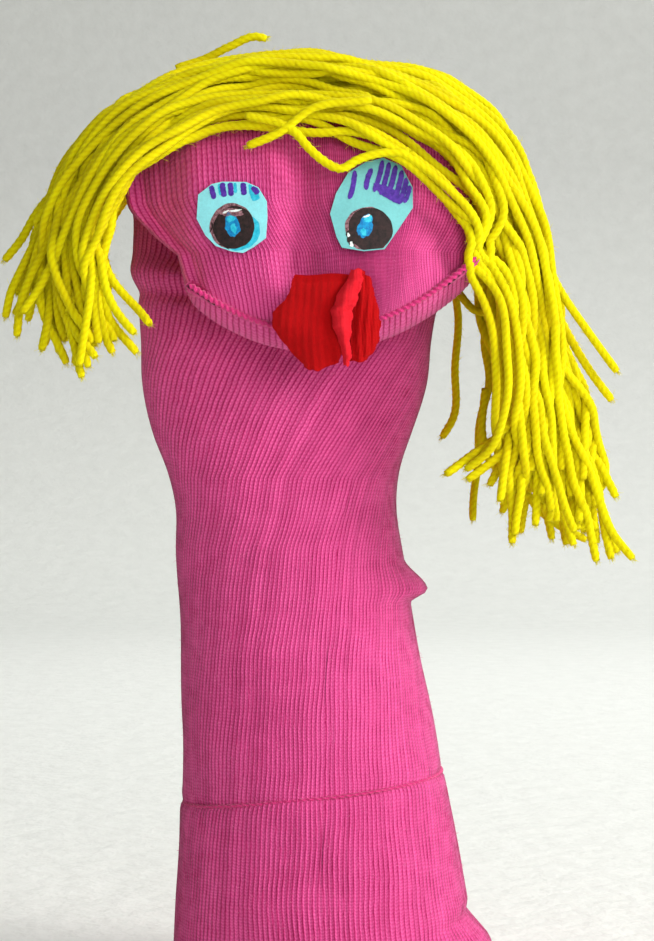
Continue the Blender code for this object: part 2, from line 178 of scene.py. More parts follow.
def ring(where, angles, grow=0.0):
    """Points of the plain sock, before its folds, at a place on the path."""
    centre, half_width, behind, front = along_sections(where)
    sine = np.sin(angles)
    depth = np.where(sine > 0, behind, front)
    u = power(np.cos(angles)) * (half_width + grow)
    v = power(sine) * (depth + grow)
    if where <= FOLD_HEIGHT:
        return np.stack([centre + u, v, np.full_like(u, where)], axis=1)
    if where <= FACE_TOP:
        turn = (where - FOLD_HEIGHT) / FOLD_RADIUS
        reach = FOLD_RADIUS + v
        y = -FOLD_RADIUS + reach * math.cos(turn)
        return np.stack([centre + u, y, FOLD_HEIGHT + reach * math.sin(turn)], axis=1)
    if where <= TOE_START:
        z = np.full_like(u, FOLD_HEIGHT - (where - FACE_TOP))
        return np.stack([centre + u, -2 * FOLD_RADIUS - v, z], axis=1)
    turn = (where - TOE_START) / TOE_LENGTH * math.pi / 2
    side = u / half_width
    from_seam = (SEAM_DEPTH - v) / (SEAM_DEPTH + front)
    depth_now = SEAM_DEPTH + (v - SEAM_DEPTH) * math.cos(turn)
    depth_now += SEAM_HALF_GAP * power(sine) * math.sin(turn)
    drop = (SEAM_DROP - SEAM_RISE * side**2 - SEAM_TILT * side) * math.sin(turn)
    drop += TOE_BULGE * np.maximum(from_seam, 0.0) * math.sin(2 * turn)
    x = centre + TOE_SHIFT * math.sin(turn) + u * (1 - TOE_NARROWING * math.sin(turn))
    return np.stack([x, -2 * FOLD_RADIUS - depth_now, FOLD_HEIGHT - FACE_LENGTH - drop], axis=1)


def fold_face(where, angles, x, y, z):
    """Moves a ring past the fold into the face's slope, cheeks and creases."""
    degrees = np.degrees(angles)
    sine = np.clip(np.sin(angles), -1, 1)
    past_fold = where - FOLD_HEIGHT
    turned = ease((past_fold - 0.45 * FOLD_LENGTH) / (0.4 * FOLD_LENGTH))
    kept = 1 - ease((where - TOE_START) / (0.8 * TOE_LENGTH))
    # The face's left side slopes back from a ridge to the head's outline
    outer = 0.5 + 0.5 * sine
    beyond_ridge = np.log1p(np.exp(-(x + RIDGE_X) / RIDGE_SOFTNESS)) * RIDGE_SOFTNESS
    y += SLOPE_DEPTH * np.tanh(1.7 * beyond_ridge / SLOPE_DEPTH) * outer * turned * kept
    # A soft fold runs inside the cheek's outline
    fold = bump(degrees, 163, 5.5) - 0.7 * bump(degrees, 152, 5.5)
    y -= 1.8 * fold * turned * kept
    x -= 0.5 * fold * turned * kept
    # Two full cheeks with a groove between them, and a slight valley on the right
    front = np.clip(sine, 0, 1) ** 0.5 * turned * (1 - ease((where - TOE_START) / (0.95 * TOE_LENGTH)))
    y -= 0.3 * front * (bump(x, CHEEK_X[0], 12) + bump(x, CHEEK_X[1], 14))
    deeper = 0.4 + 0.6 * ease((past_fold - 0.75 * FOLD_LENGTH) / 12)
    y += 5.0 * front * bump(x, GROOVE_X, 5.0) * deeper
    y += 2.2 * front * bump(x + 0.25 * (z - 225), 30, 4.5)
    # The crease where the cheek's wall meets the back of the head
    crease = bump(degrees, 196 - 10 * turned, 7.5) * turned * kept
    x += 3.0 * crease
    y -= 1.0 * crease


def fold_neck(angles, x, y, z):
    """Moves a ring below the fold into the neck's rolls, the heel's fold and the cuff's welt and edge."""
    sine, cosine = np.sin(angles), np.cos(angles)
    # Slack knit rolls at the top of the neck, on the left
    left = ease((-x - 22) / 20) * ease((-sine + 0.55) / 0.5)
    level = z + 0.12 * (x + 40)
    roll = bump(level, 208.5, 3.4) - 0.8 * bump(level, 202.5, 2.2)
    y -= 1.9 * left * roll
    x -= 0.9 * left * roll
    # The heel's pocket: a pinched fold on the right
    away = np.degrees(np.abs(np.arctan2(sine, cosine)))
    shape = ease((z - HEEL_BOTTOM) / (HEEL_TIP - HEEL_BOTTOM)) * (1 - ease((z - HEEL_TIP) / 9.0))
    x += HEEL_REACH * shape * np.exp(-((away / 34) ** 2)) * (cosine > 0)
    # Shallow drag lines at the wrist
    level = z - 0.35 * x
    lines = bump(level, 150, 4.0) + 0.8 * bump(level, 137, 3.5) + 0.6 * bump(z - 0.3 * x, 163, 4.0)
    y += 0.75 * lines * np.clip(-sine, 0, 1)
    # The cuff is double, and its edge is turned up on the right
    cuff_line = hem_height(cosine)
    lift = CUFF_LIFT * (1 - ease((z - cuff_line + 1.2) / 1.6))
    x += lift * cosine
    y += lift * sine
    pinch = bump(z, cuff_line, 1.2) * 0.5
    x -= pinch * cosine
    y -= pinch * sine
    edge_angle = np.radians(np.clip(away + 12 * sine, 0, 80) * 90 / 80)
    edge = EDGE_TOP * np.clip(np.cos(edge_angle), 0, 1) ** 0.6
    near = np.exp(-((away / 46) ** 4))
    lobe = EDGE_LIFT * (1 - ease((z - edge + 9) / 9)) * near
    x += lobe * cosine
    y += lobe * sine
    x -= 1.1 * bump(z, edge + 1.0, 1.8) * near * cosine


def hem_height(cosine):
    """The height of the welt's hem, which rises to the right."""
    return CUFF_TOP + 0.5 + 4.5 * cosine


def fold_points(where, angles, points):
    """Moves a ring's points into the sock's large folds and hollows."""
    x, y, z = (column.copy() for column in points.T)
    if where > FOLD_HEIGHT:
        fold_face(where, angles, x, y, z)
    else:
        fold_neck(angles, x, y, z)
    return np.stack([x, y, z], axis=1)


def skin_rows(places, shares):
    """The folded sock's rings at places on the path."""
    rows = []
    for where in places:
        angles = even_angles(where, shares)
        rows.append(fold_points(where, angles, ring(where, angles)))
    return np.array(rows)


def grid_normals(grid):
    """Outward normals of a grid of rings."""
    along = np.gradient(grid, axis=0)
    around = (np.roll(grid, -1, axis=1) - np.roll(grid, 1, axis=1)) / 2
    normals = np.cross(around, along)
    lengths = np.linalg.norm(normals, axis=2, keepdims=True)
    return normals / np.maximum(lengths, 1e-9)


# ---------------------------------------------------------------- mesh helpers


def new_object(name, mesh, materials):
    obj = bpy.data.objects.new(name, mesh)
    bpy.context.scene.collection.objects.link(obj)
    for found in materials:
        mesh.materials.append(found)
    return obj


def mesh_from(name, points, faces, materials, smooth=True):
    """An object from points in millimetres."""
    mesh = bpy.data.meshes.new(name)
    mesh.from_pydata((np.asarray(points) * MM).tolist(), [], [tuple(f) for f in faces])
    mesh.update()
    if smooth:
        mesh.shade_smooth()
    return new_object(name, mesh, materials)


def grid_faces(rows, columns, wrap=True):
    """Quads of a grid of points, row after row."""
    last = columns if wrap else columns - 1
    low = np.arange(rows - 1)[:, None] * columns
    i = np.arange(last)[None, :]
    j = (i + 1) % columns
    return np.stack([low + i, low + j, low + columns + j, low + columns + i], axis=2).reshape(-1, 4)


def grid_uv(columns, turns, marks):
    """UVs of a grid's quads: U counts turns round it, and V follows the rows' marks."""
    i = np.arange(columns)
    uv = np.empty((len(marks) - 1, columns, 4, 2))
    uv[..., 0] = np.stack([i, i + 1, i + 1, i], axis=1) * turns / columns
    uv[..., 1] = np.stack([marks[:-1], marks[:-1], marks[1:], marks[1:]], axis=1)[:, None]
    return uv


def add_uv(obj, name, uv):
    layer = obj.data.uv_layers.new(name=name)
    layer.data.foreach_set("uv", uv.ravel().astype(np.float32))


FIBRE_FACES = [(0, 2, 1), (0, 1, 4, 3), (1, 2, 5, 4), (2, 0, 3, 5), (3, 4, 6), (4, 5, 6), (5, 3, 6)]
FIBRE_CORNERS = sum(len(face) for face in FIBRE_FACES)


def unit(vectors):
    return vectors / np.maximum(np.linalg.norm(vectors, axis=1, keepdims=True), 1e-9)


def fibres(roots, outs, alongs, lengths, radius):
    """Points and faces of fine bent fibres on a surface, each three-sided and tapered to a tip."""
    count = len(roots)
    first = unit(outs + 0.9 * alongs + fluff.normal(0, 0.35, (count, 3)))
    second = unit(first + fluff.normal(0, 0.55, (count, 3)))
    side = unit(np.cross(first, fluff.normal(0, 1, (count, 3))))
    up = np.cross(first, side)
    middle = roots + first * lengths[:, None] * 0.55
    points = np.empty((count, 7, 3))
    for k in range(3):
        angle = 2 * math.pi * k / 3
        across = side * math.cos(angle) + up * math.sin(angle)
        points[:, k] = roots - first * 0.15 + across * radius
        points[:, 3 + k] = middle + across * radius * 0.8
    points[:, 6] = middle + second * lengths[:, None] * 0.45
    faces = [tuple(7 * i + k for k in face) for i in range(count) for face in FIBRE_FACES]
    return points.reshape(-1, 3), faces


# ---------------------------------------------------------------- materials


class Nodes:
    """A short way to build a material's nodes."""

    def __init__(self, name):
        self.material = bpy.data.materials.new(name)
        self.material.use_nodes = True
        self.tree = self.material.node_tree
        self.shader = self.tree.nodes["Principled BSDF"]

    def add(self, kind, **settings):
        node = self.tree.nodes.new(kind)
        for key, value in settings.items():
            setattr(node, key, value)
        return node

    def link(self, source, target):
        self.tree.links.new(source, target)

    def put(self, socket, value):
        if isinstance(value, bpy.types.NodeSocket):
            self.link(value, socket)
        else:
            socket.default_value = value

    def place(self):
        return self.add("ShaderNodeNewGeometry").outputs["Position"]

    def uv(self, name):
        return self.add("ShaderNodeUVMap", uv_map=name).outputs[0]

    def split(self, vector):
        node = self.add("ShaderNodeSeparateXYZ")
        self.link(vector, node.inputs[0])
        return node.outputs

    def math(self, operation, first, second=0.0, third=0.0, clamp=False):
        node = self.add("ShaderNodeMath", operation=operation, use_clamp=clamp)
        for socket, value in zip(node.inputs, (first, second, third)):
            self.put(socket, value)
        return node.outputs[0]

    def ramp(self, value, stops):
        node = self.add("ShaderNodeValToRGB")
        while len(node.color_ramp.elements) < len(stops):
            node.color_ramp.elements.new(0.5)
        for element, (place, colour) in zip(node.color_ramp.elements, stops):
            element.position = place
            element.color = (*colour, 1.0)
        self.put(node.inputs[0], value)
        return node.outputs[0]

    def mix(self, share, first, second, blend="MIX"):
        node = self.add("ShaderNodeMix", data_type="RGBA", blend_type=blend)
        self.put(node.inputs[0], share)
        self.put(node.inputs[6], first)
        self.put(node.inputs[7], second)
        return node.outputs[2]

    def noise(self, vector, scale, detail=2.0, roughness=0.5):
        node = self.add("ShaderNodeTexNoise")
        self.put(node.inputs["Scale"], scale)
        self.put(node.inputs["Detail"], detail)
        self.put(node.inputs["Roughness"], roughness)
        self.link(vector, node.inputs["Vector"])
        return node.outputs["Fac"]

    def bump(self, height, distance, strength):
        node = self.add("ShaderNodeBump")
        self.put(node.inputs["Height"], height)
        self.put(node.inputs["Distance"], distance)
        self.put(node.inputs["Strength"], strength)
        return node.outputs["Normal"]

    def finish(self, colour, roughness, normal=None, sheen=0.0, specular=0.3, sheen_tint=(1, 1, 1)):
        self.put(self.shader.inputs["Base Color"], colour)
        self.put(self.shader.inputs["Roughness"], roughness)
        self.shader.inputs["Specular IOR Level"].default_value = specular
        self.shader.inputs["Sheen Weight"].default_value = sheen
        self.shader.inputs["Sheen Roughness"].default_value = 0.5
        self.shader.inputs["Sheen Tint"].default_value = (*sheen_tint, 1.0)
        if normal is not None:
            self.link(normal, self.shader.inputs["Normal"])
        return self.material


def knit_material():
    """Stocking stitch: each wale is a column of V-shaped stitches. The colour follows their relief: painted
    shade in the gaps between the wales and painted light on the stitches' legs.
    """
    nodes = Nodes("pink_knit")
    place = nodes.place()
    wales, courses, _ = nodes.split(nodes.uv("knit"))
    wobble = nodes.math("MULTIPLY_ADD", nodes.noise(place, 300.0), 0.44, -0.22)
    shifted = nodes.math("ADD", wales, wobble)
    across = nodes.math("FRACT", shifted)
    off_middle = nodes.math("ABSOLUTE", nodes.math("MULTIPLY_ADD", across, 2.0, -1.0))
    # 0 in the gap between two wales and 1 on the stitches' legs
    rise = nodes.math("POWER", nodes.math("SUBTRACT", 1.0, off_middle), 0.8)
    leg = nodes.math("SINE", nodes.math("MULTIPLY", rise, math.pi * 0.62))
    drift = nodes.math("MULTIPLY_ADD", nodes.noise(place, 170.0), 2.4, courses)
    slant = nodes.math("MULTIPLY_ADD", off_middle, -0.55, drift)
    wave = nodes.math("SINE", nodes.math("MULTIPLY", slant, 2 * math.pi))
    stitch = nodes.math("MULTIPLY_ADD", wave, 0.5, 0.5)
    gap_fill = nodes.math("MULTIPLY_ADD", nodes.noise(place, 110.0, 3.0, 0.6), 0.7, -0.12)
    filled = nodes.math("MULTIPLY_ADD", nodes.math("SUBTRACT", 1.0, leg), gap_fill, leg)
    height = nodes.math("MULTIPLY", filled, nodes.math("MULTIPLY_ADD", stitch, 0.22, 0.78))
    fibre = nodes.noise(place, 5200.0, 3.0, 0.7)
    cloud = nodes.noise(place, 55.0, 3.0, 0.6)
    fleck = nodes.noise(place, 900.0, 2.0, 0.6)
    total = nodes.math("MULTIPLY_ADD", fibre, 0.35, nodes.math("MULTIPLY_ADD", fleck, 0.25, height))
    # The colour level follows the relief height: painted shade in the gaps and painted light on the legs,
    # with the fibres' own speckle
    level = nodes.math("MULTIPLY_ADD", height, 0.80, nodes.math("MULTIPLY_ADD", fibre, 0.34, -0.10))
    base = nodes.ramp(
        level,
        [(0.10, (0.20, 0.002, 0.030)), (0.44, (0.62, 0.026, 0.185)), (0.86, (0.92, 0.140, 0.430))],
    )
    tone = nodes.ramp(cloud, [(0.30, (0.90, 0.80, 0.86)), (0.70, (1.0, 1.0, 1.0))])
    wale = nodes.add("ShaderNodeTexWhiteNoise", noise_dimensions="1D")
    nodes.link(nodes.math("FLOOR", shifted), wale.inputs["W"])
    streak = nodes.ramp(wale.outputs["Value"], [(0.0, (0.80, 0.72, 0.76)), (1.0, (1.0, 1.0, 1.0))])
    colour = nodes.mix(0.8, nodes.mix(1.0, base, tone, "MULTIPLY"), streak, "MULTIPLY")
    normal = nodes.bump(total, 0.00045, 0.75)
    return nodes.finish(colour, 0.92, normal, sheen=0.35, specular=0.12, sheen_tint=(1.0, 0.55, 0.80))


def speckled(name, scale, detail, rough, stops, roughness, bump=None, **finish):
    """A material whose colour follows one noise, and its bump too, as (distance, strength)."""
    nodes = Nodes(name)
    fibre = nodes.noise(nodes.place(), scale, detail, rough)
    normal = nodes.bump(fibre, *bump) if bump else None
    return nodes.finish(nodes.ramp(fibre, stops), roughness, normal, **finish)


def yarn_material():
    """Acrylic yarn: fine fibres along the plies. Its colour is painted brighter on the crests than in the
    grooves: painted light on the crests, and painted shade, darker and more orange, in the grooves.
    """
    nodes = Nodes("yellow_yarn_fibre")
    place = nodes.place()
    around, _, _ = nodes.split(nodes.uv("yarn"))
    turns = nodes.math("MULTIPLY", around, 2 * math.pi * YARN_PLIES)
    crest = nodes.math("MULTIPLY_ADD", nodes.math("COSINE", turns), 0.5, 0.5)
    fibre = nodes.noise(place, 4200.0, 3.0, 0.7)
    strand_tone = nodes.noise(place, 60.0, 2.0, 0.5)
    # Painted light on the plies' crests and painted shade in the grooves, over the fibres' speckle
    level = nodes.math("MULTIPLY_ADD", crest, 0.34, nodes.math("MULTIPLY_ADD", fibre, 0.50, 0.08))
    base = nodes.ramp(
        level,
        [(0.10, (0.74, 0.60, 0.001)), (0.42, (0.86, 0.78, 0.002)), (0.80, (0.92, 0.88, 0.006))],
    )
    tone = nodes.ramp(strand_tone, [(0.32, (0.93, 0.86, 0.9)), (0.68, (1.0, 1.0, 1.0))])
    colour = nodes.mix(1.0, base, tone, "MULTIPLY")
    normal = nodes.bump(fibre, 0.00035, 0.7)
    return nodes.finish(colour, 0.9, normal, sheen=0.08, specular=0.06, sheen_tint=(1.0, 0.95, 0.3))


def card_material(name, colour):
    """Uncoated craft card with a faint fibre texture."""
    nodes = Nodes(name)
    place = nodes.place()
    fibre = nodes.noise(place, 1500.0, 4.0, 0.65)
    cloud = nodes.noise(place, 120.0, 2.0, 0.5)
    darker = tuple(0.82 * c for c in colour)
    base = nodes.ramp(nodes.math("MULTIPLY_ADD", fibre, 0.5, nodes.math("MULTIPLY", cloud, 0.5)),
                      [(0.35, darker), (0.62, colour)])
    return nodes.finish(base, 0.72, nodes.bump(fibre, 0.00008, 0.5), specular=0.25)


def ink_material(name, dark, light, scale=900.0):
    """Felt-tip ink, streaky where the strokes overlap. The same kind of material also makes the white painted
    highlights on the ink.
    """
    return speckled(name, scale, 3.0, 0.65, [(0.36, dark), (0.66, light)], 0.55, specular=0.3)


def crepe_material(name, dark, middle, light):
    """Crepe paper: fine wrinkles that run down each petal, and a slight shine. The wrinkles are painted into
    the colour as well: painted shade in their troughs and painted light on their crests, mixed with the
    paper's grain.
    """
    nodes = Nodes(name)
    wave = nodes.add("ShaderNodeTexWave", wave_type="BANDS", bands_direction="X", wave_profile="SIN")
    for socket, value in (("Scale", 9.0), ("Distortion", 3.0), ("Detail", 3.0), ("Detail Scale", 2.0)):
        nodes.put(wave.inputs[socket], value)
    nodes.link(nodes.uv("crepe"), wave.inputs["Vector"])
    grain = nodes.noise(nodes.place(), 700.0, 4.0, 0.7)
    # Painted shade and light along the wrinkles, mixed with the paper's own grain
    level = nodes.math("MULTIPLY_ADD", wave.outputs["Fac"], 0.55, nodes.math("MULTIPLY", grain, 0.55))
    colour = nodes.ramp(level, [(0.20, dark), (0.55, middle), (0.85, light)])
    return nodes.finish(colour, 0.75, nodes.bump(level, 0.0004, 0.6), specular=0.12)


KNIT = knit_material()
# The sock's inside shows loops without a clear pattern, darker because little light gets in
INSIDE = speckled("pink_knit_inside", 900.0, 3.0, 0.65,
                  [(0.3, (0.40, 0.012, 0.12)), (0.7, (0.78, 0.06, 0.30))],
                  0.95, (0.0006, 0.8), sheen=0.2, specular=0.1)
THREAD = speckled("pink_thread", 3800.0, 3.0, 0.7, [(0.25, (0.50, 0.010, 0.11)), (0.75, (0.84, 0.060, 0.30))],
                  0.9, (0.0003, 0.7), sheen=0.3, specular=0.15)
FUZZ = speckled("pink_fuzz", 700.0, 2.0, 0.6, [(0.3, (0.80, 0.10, 0.30)), (0.7, (0.95, 0.30, 0.55))],
                0.95, sheen=0.3, specular=0.05)
GLUE = speckled("dried_glue", 420.0, 2.0, 0.5, [(0.3, (0.62, 0.58, 0.50)), (0.7, (0.86, 0.84, 0.78))],
                0.25, (0.0003, 0.6), specular=0.5)
YARN = yarn_material()
LEFT_CARD = card_material("pale_blue_card", (0.30, 0.84, 0.93))
RIGHT_CARD = card_material("blue_green_card", (0.20, 0.60, 0.63))
PURPLE = ink_material("purple_ink", (0.045, 0.012, 0.26), (0.11, 0.03, 0.42))
BLACK = ink_material("black_brown_ink", (0.006, 0.003, 0.004), (0.035, 0.014, 0.014))
BLUE = ink_material("blue_ink", (0.0, 0.14, 0.42), (0.0, 0.36, 0.72))
CYAN = ink_material("cyan_ink", (0.0, 0.42, 0.62), (0.05, 0.62, 0.82))
SMEAR = ink_material("smeared_ink", (0.10, 0.03, 0.04), (0.42, 0.22, 0.26), 1500.0)
# Near-white flecks on the eyes' ink: painted highlights, where light glints on the marker
PAINTED_HIGHLIGHT = ink_material("painted_highlight_white", (0.75, 0.85, 0.86), (0.95, 0.97, 0.97))
CREPE = crepe_material("red_crepe", (0.36, 0.0004, 0.001), (0.50, 0.0008, 0.002), (0.60, 0.002, 0.006))
# The mouth is one strip of red crepe. The folded petal's copy of it is brighter: painted light where the fold
# catches the lamp
CREPE_LIT_COPY = crepe_material("red_crepe_painted_light", (0.66, 0.002, 0.008), (0.82, 0.010, 0.026),
                            (0.92, 0.03, 0.05))

# ---------------------------------------------------------------- knitted skins

RIB_RELIEF = 0.19
CUFF_RIB_RELIEF = 0.27
CUFF_WALL = 2.6
ROLL_DROP = 0.95
WALL = 1.5
FUZZ_RADIUS = 0.035


def rib_heights(places, columns):
    """The wales' relief for each row and column, higher on the cuff."""
    wave = np.cos(2 * math.pi * np.arange(columns) / COLUMNS_PER_WALE)
    relief = np.where(np.asarray(places) < CUFF_TOP, CUFF_RIB_RELIEF, RIB_RELIEF)
    toe = np.clip((np.asarray(places) - TOE_START) / TOE_LENGTH, 0, 1)
    return (relief * (1 - 0.85 * toe))[:, None] * wave[None, :]


def make_skin(name, places, before=(), after=()):
    """A skin over the places on the path. The places before and after only steady its edges' normals."""
    shares = np.arange(COLUMNS) / COLUMNS
    every = np.array([*before, *places, *after], float)
    base = skin_rows(every, shares)
    normals = grid_normals(base)
    slack = 0.35 * np.sin(every / 7.3)[:, None] * np.sin(2 * math.pi * shares * 5 + every[:, None] / 19)
    slack *= every[:, None] < FOLD_HEIGHT
    grid = base + normals * (rib_heights(every, COLUMNS) + slack)[..., None]
    first, last = len(before), len(before) + len(places)
    faces = grid_faces(len(places), COLUMNS)
    obj = mesh_from(name, grid[first:last].reshape(-1, 3), faces, [KNIT])
    add_uv(obj, "knit", grid_uv(COLUMNS, WALES, every[first:last] / COURSE))
    smooth_normals = grid_normals(grid)[first:last].reshape(-1, 3)
    obj.data.normals_split_custom_set_from_vertices(smooth_normals.tolist())
    return obj, grid[first:last], normals[first:last]


def evenly(start, end, step):
    count = max(2, int(round((end - start) / step)))
    return list(np.linspace(start, end, count + 1))


LINING_COLUMNS = 112


def make_lining(name, places, depth):
    """The sock's inside face, which shows through the arm opening."""
    base = skin_rows(np.array(places, float), np.arange(LINING_COLUMNS) / LINING_COLUMNS)
    grid = base - grid_normals(base) * depth
    faces = grid_faces(len(places), LINING_COLUMNS)[:, ::-1]
    return mesh_from(name, grid.reshape(-1, 3), faces, [INSIDE])


def knit_fuzz(name, grid, normals, count, longest):
    """Loose fibres of the sock's cotton, all over a skin."""
    rows = fluff.integers(1, len(grid) - 1, count)
    columns = fluff.integers(0, COLUMNS, count)
    alongs = fluff.normal(0, 1, (count, 3))
    lengths = fluff.uniform(0.35, 1.0, count) ** 1.5 * longest
    points, faces = fibres(grid[rows, columns], normals[rows, columns], alongs, lengths, FUZZ_RADIUS)
    return mesh_from(name, points, faces, [FUZZ])


def box_centre_x(node):
    low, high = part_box(node)
    return (low.x + high.x) / 2


def node_top(node):
    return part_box(node)[1].z


def node_bottom(node):
    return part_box(node)[0].z


BAND_MIDDLE = (node_bottom("wrist_band") + node_top("wrist_band")) / 2 / MM
PALM_TOP = node_top("palm_tube") / MM
WRIST_X = box_centre_x("wrist_band")
CROWN_BLEND_START = Vector((WRIST_X, -18.5 * MM, PALM_TOP * MM))
CROWN_BLEND_END = CROWN_BLEND_START + Vector((0, -0.6, 0.8)) * 14.5 * MM

sleeve_places = evenly(1.0, BAND_MIDDLE, 1.2)
palm_places = evenly(BAND_MIDDLE, PALM_TOP, 1.2)
crown_places = evenly(PALM_TOP, FOLD_HEIGHT, 1.2) + evenly(FOLD_HEIGHT, FACE_TOP, 0.9)[1:]
toe_turns = np.linspace(0, 1, 29)[1:]
face_places = evenly(FACE_TOP, TOE_START, 1.2) + list(TOE_START + TOE_LENGTH * toe_turns)


# For each body: the skin's places, the places before and after it, the lining's places and depth, the
# number of loose fibres and the longest one, and the CAD nodes that the skin stands for
SKINS = {
    "sleeve": (sleeve_places, (), palm_places[1:3], evenly(10, BAND_MIDDLE, 4), WALL + 0.6, 6500, 1.5,
               ("ribbed_cuff", "leg_tube", "heel_pocket", "cuff_turned_edge", "lower_wrist_knit")),
    "palm": (palm_places, sleeve_places[-3:-1], crown_places[1:3], evenly(BAND_MIDDLE, PALM_TOP, 4),
             WALL + 0.2, 2600, 1.4, ("wrist_band", "upper_wrist_knit", "palm_tube")),
    "crown": (crown_places, palm_places[-3:-1], face_places[1:3],
              evenly(PALM_TOP, FOLD_HEIGHT, 4) + evenly(FOLD_HEIGHT, FACE_TOP, 3)[1:], WALL, 2600, 1.2,
              ("knuckle_knit", "crown_knit")),
    "face": (face_places, crown_places[-3:-1], (), evenly(FACE_TOP, TOE_END, 2), WALL, 1500, 0.9,
             ("face_pocket",)),
}
BLENDS = {
    "sleeve": ("sleeve", "wrist", (WRIST_X, 0, node_top("leg_tube")),
               (WRIST_X, 0, node_bottom("wrist_band"))),
    "palm": ("wrist", "palm", (WRIST_X, 0, node_top("wrist_band")), (WRIST_X, 0, node_bottom("palm_tube"))),
    "crown": ("palm", "face", CROWN_BLEND_START, CROWN_BLEND_END),
}


def make_skins():
    for body, (places, before, after, lining, depth, count, longest, nodes) in SKINS.items():
        skin, grid, outs = make_skin(f"knit_skin_{body}", places, before, after)
        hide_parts(*nodes)
        inside = make_lining(f"lining_{body}", lining, depth)
        for piece in (skin, inside, knit_fuzz(f"knit_fuzz_{body}", grid, outs, count, longest)):
            if body in BLENDS:
                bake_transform(piece)
            else:
                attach(piece, body)
        if body == "sleeve":
            edge = make_cuff_edge(grid[0])
            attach(edge, "sleeve")


def make_cuff_edge(first_row):
    """The rim: the double knit rolls over from the outside to the inside."""
    middle = first_row.mean(axis=0)
    outward = first_row - middle
    outward[:, 2] = 0
    outward /= np.linalg.norm(outward, axis=1, keepdims=True)
    rows, lengths = [], []
    half_wall = CUFF_WALL / 2
    for angle in np.linspace(0, math.pi, 9):
        inset = outward * half_wall * (1 - math.cos(angle))
        rows.append(first_row - inset - [0, 0, ROLL_DROP * math.sin(angle)])
        lengths.append(-half_wall * angle)
    for height in (4.0, 8.0, 12.0):
        rows.append(first_row - outward * CUFF_WALL + [0, 0, height])
        lengths.append(-half_wall * math.pi - height)
    grid = np.array(rows)
    obj = mesh_from("knit_cuff_edge", grid.reshape(-1, 3), grid_faces(len(rows), COLUMNS)[:, ::-1], [KNIT])
    add_uv(obj, "knit", grid_uv(COLUMNS, WALES, np.array(lengths) / COURSE)[:, :, ::-1])
    return obj


make_skins()

# ---------------------------------------------------------------- yarn and thread


def smooth_curve(points, count):
    """Count evenly placed points on a smooth curve through the given ones."""
    points = np.asarray(points, float)
    marks = np.concatenate(([0], np.cumsum(np.linalg.norm(np.diff(points, axis=0), axis=1))))
    slopes = np.gradient(points, marks, axis=0)
    where = np.linspace(0, marks[-1], max(count, 2) * 4)
    i = np.clip(np.searchsorted(marks, where) - 1, 0, len(marks) - 2)
    span = (marks[i + 1] - marks[i])[:, None]
    t = ((where - marks[i])[:, None]) / span
    curve = hermite(t, points[i], points[i + 1], slopes[i] * span, slopes[i + 1] * span)
    return resample(curve, count)


def resample(curve, count):
    """Count points at even distances along a curve."""
    run = np.concatenate(([0], np.cumsum(np.linalg.norm(np.diff(curve, axis=0), axis=1))))
    where = np.linspace(0, run[-1], count)
    return np.stack([np.interp(where, run, curve[:, k]) for k in range(3)], axis=1)


def curve_length(curve):
    return float(np.linalg.norm(np.diff(curve, axis=0), axis=1).sum())


def plied_tube(curve, radius, plies, pitch, step, phase=0.0, tapers=(1.0, 1.0), per_ply=3, ridge_share=0.065):
    """Points, faces, UVs and points per ring of a twisted yarn. Each ply is a ridge that winds round it."""
    length = curve_length(curve)
    count = max(4, int(length / step) + 1)
    route = resample(curve, count)
    tangents = unit(np.gradient(route, axis=0))
    side = np.cross(tangents[0], [0.3, 0.5, 0.81])
    side /= np.linalg.norm(side)
    sides = np.empty_like(route)
    for k in range(count):
        side = side - tangents[k] * side.dot(tangents[k])
        side /= np.linalg.norm(side)
        sides[k] = side
    ups = np.cross(tangents, sides)
    around = plies * per_ply
    base = 2 * math.pi * np.arange(around) / around
    ridge = 1 - ridge_share + ridge_share * np.cos(plies * base)
    run = np.linspace(0, length, count)
    turn = phase + 2 * math.pi * run / pitch
    angles = base[None, :] + turn[:, None]
    taper_length = radius * 1.2
    from_ends = np.minimum(run / taper_length, (length - run) / taper_length)
    size = np.ones(count)
    for near, taper in zip((run < taper_length, (length - run) < taper_length), tapers):
        size[near] = taper + (1 - taper) * np.clip(from_ends[near], 0, 1)
    reach = radius * ridge[None, :] * size[:, None]
    points = (route[:, None, :] + sides[:, None, :] * (reach * np.cos(angles))[..., None]
              + ups[:, None, :] * (reach * np.sin(angles))[..., None])
    return points.reshape(-1, 3), grid_faces(count, around), grid_uv(around, 1, run).reshape(-1, 2), around


FRAY_COUNT = 18
YARN_FUZZ_RADIUS = 0.06
YARN_FUZZ_PER_MILLIMETRE = 1.3


def yarn_fuzz(tubes):
    """Fibres that stand off each yarn, and a frayed tuft at its cut end."""
    roots, outs, alongs, lengths = [], [], [], []
    for tube_points, _, _, around in tubes:
        rings = tube_points.reshape(-1, around, 3)
        middles = rings.mean(axis=1)
        tangents = unit(np.gradient(middles, axis=0))
        count = int(curve_length(middles) * YARN_FUZZ_PER_MILLIMETRE)
        i, j = fluff.integers(0, len(rings), count), fluff.integers(0, around, count)
        roots.append(rings[i, j])
        outs.append(unit(rings[i, j] - middles[i]) * 0.8)
        alongs.append(tangents[i] * fluff.choice((-1.3, 1.3), (count, 1)))
        lengths.append(fluff.uniform(0.8, 2.4, count))
        j = fluff.integers(0, around, FRAY_COUNT)
        share = fluff.uniform(0.1, 0.9, (FRAY_COUNT, 1))
        roots.append(middles[-1] + (rings[-1, j] - middles[-1]) * share)
        outs.append(np.repeat(tangents[-1:], FRAY_COUNT, axis=0))
        alongs.append(fluff.normal(0, 0.3, (FRAY_COUNT, 3)))
        lengths.append(fluff.uniform(0.8, 2.2, FRAY_COUNT))
    return fibres(*(np.concatenate(parts) for parts in (roots, outs, alongs, lengths)), YARN_FUZZ_RADIUS)


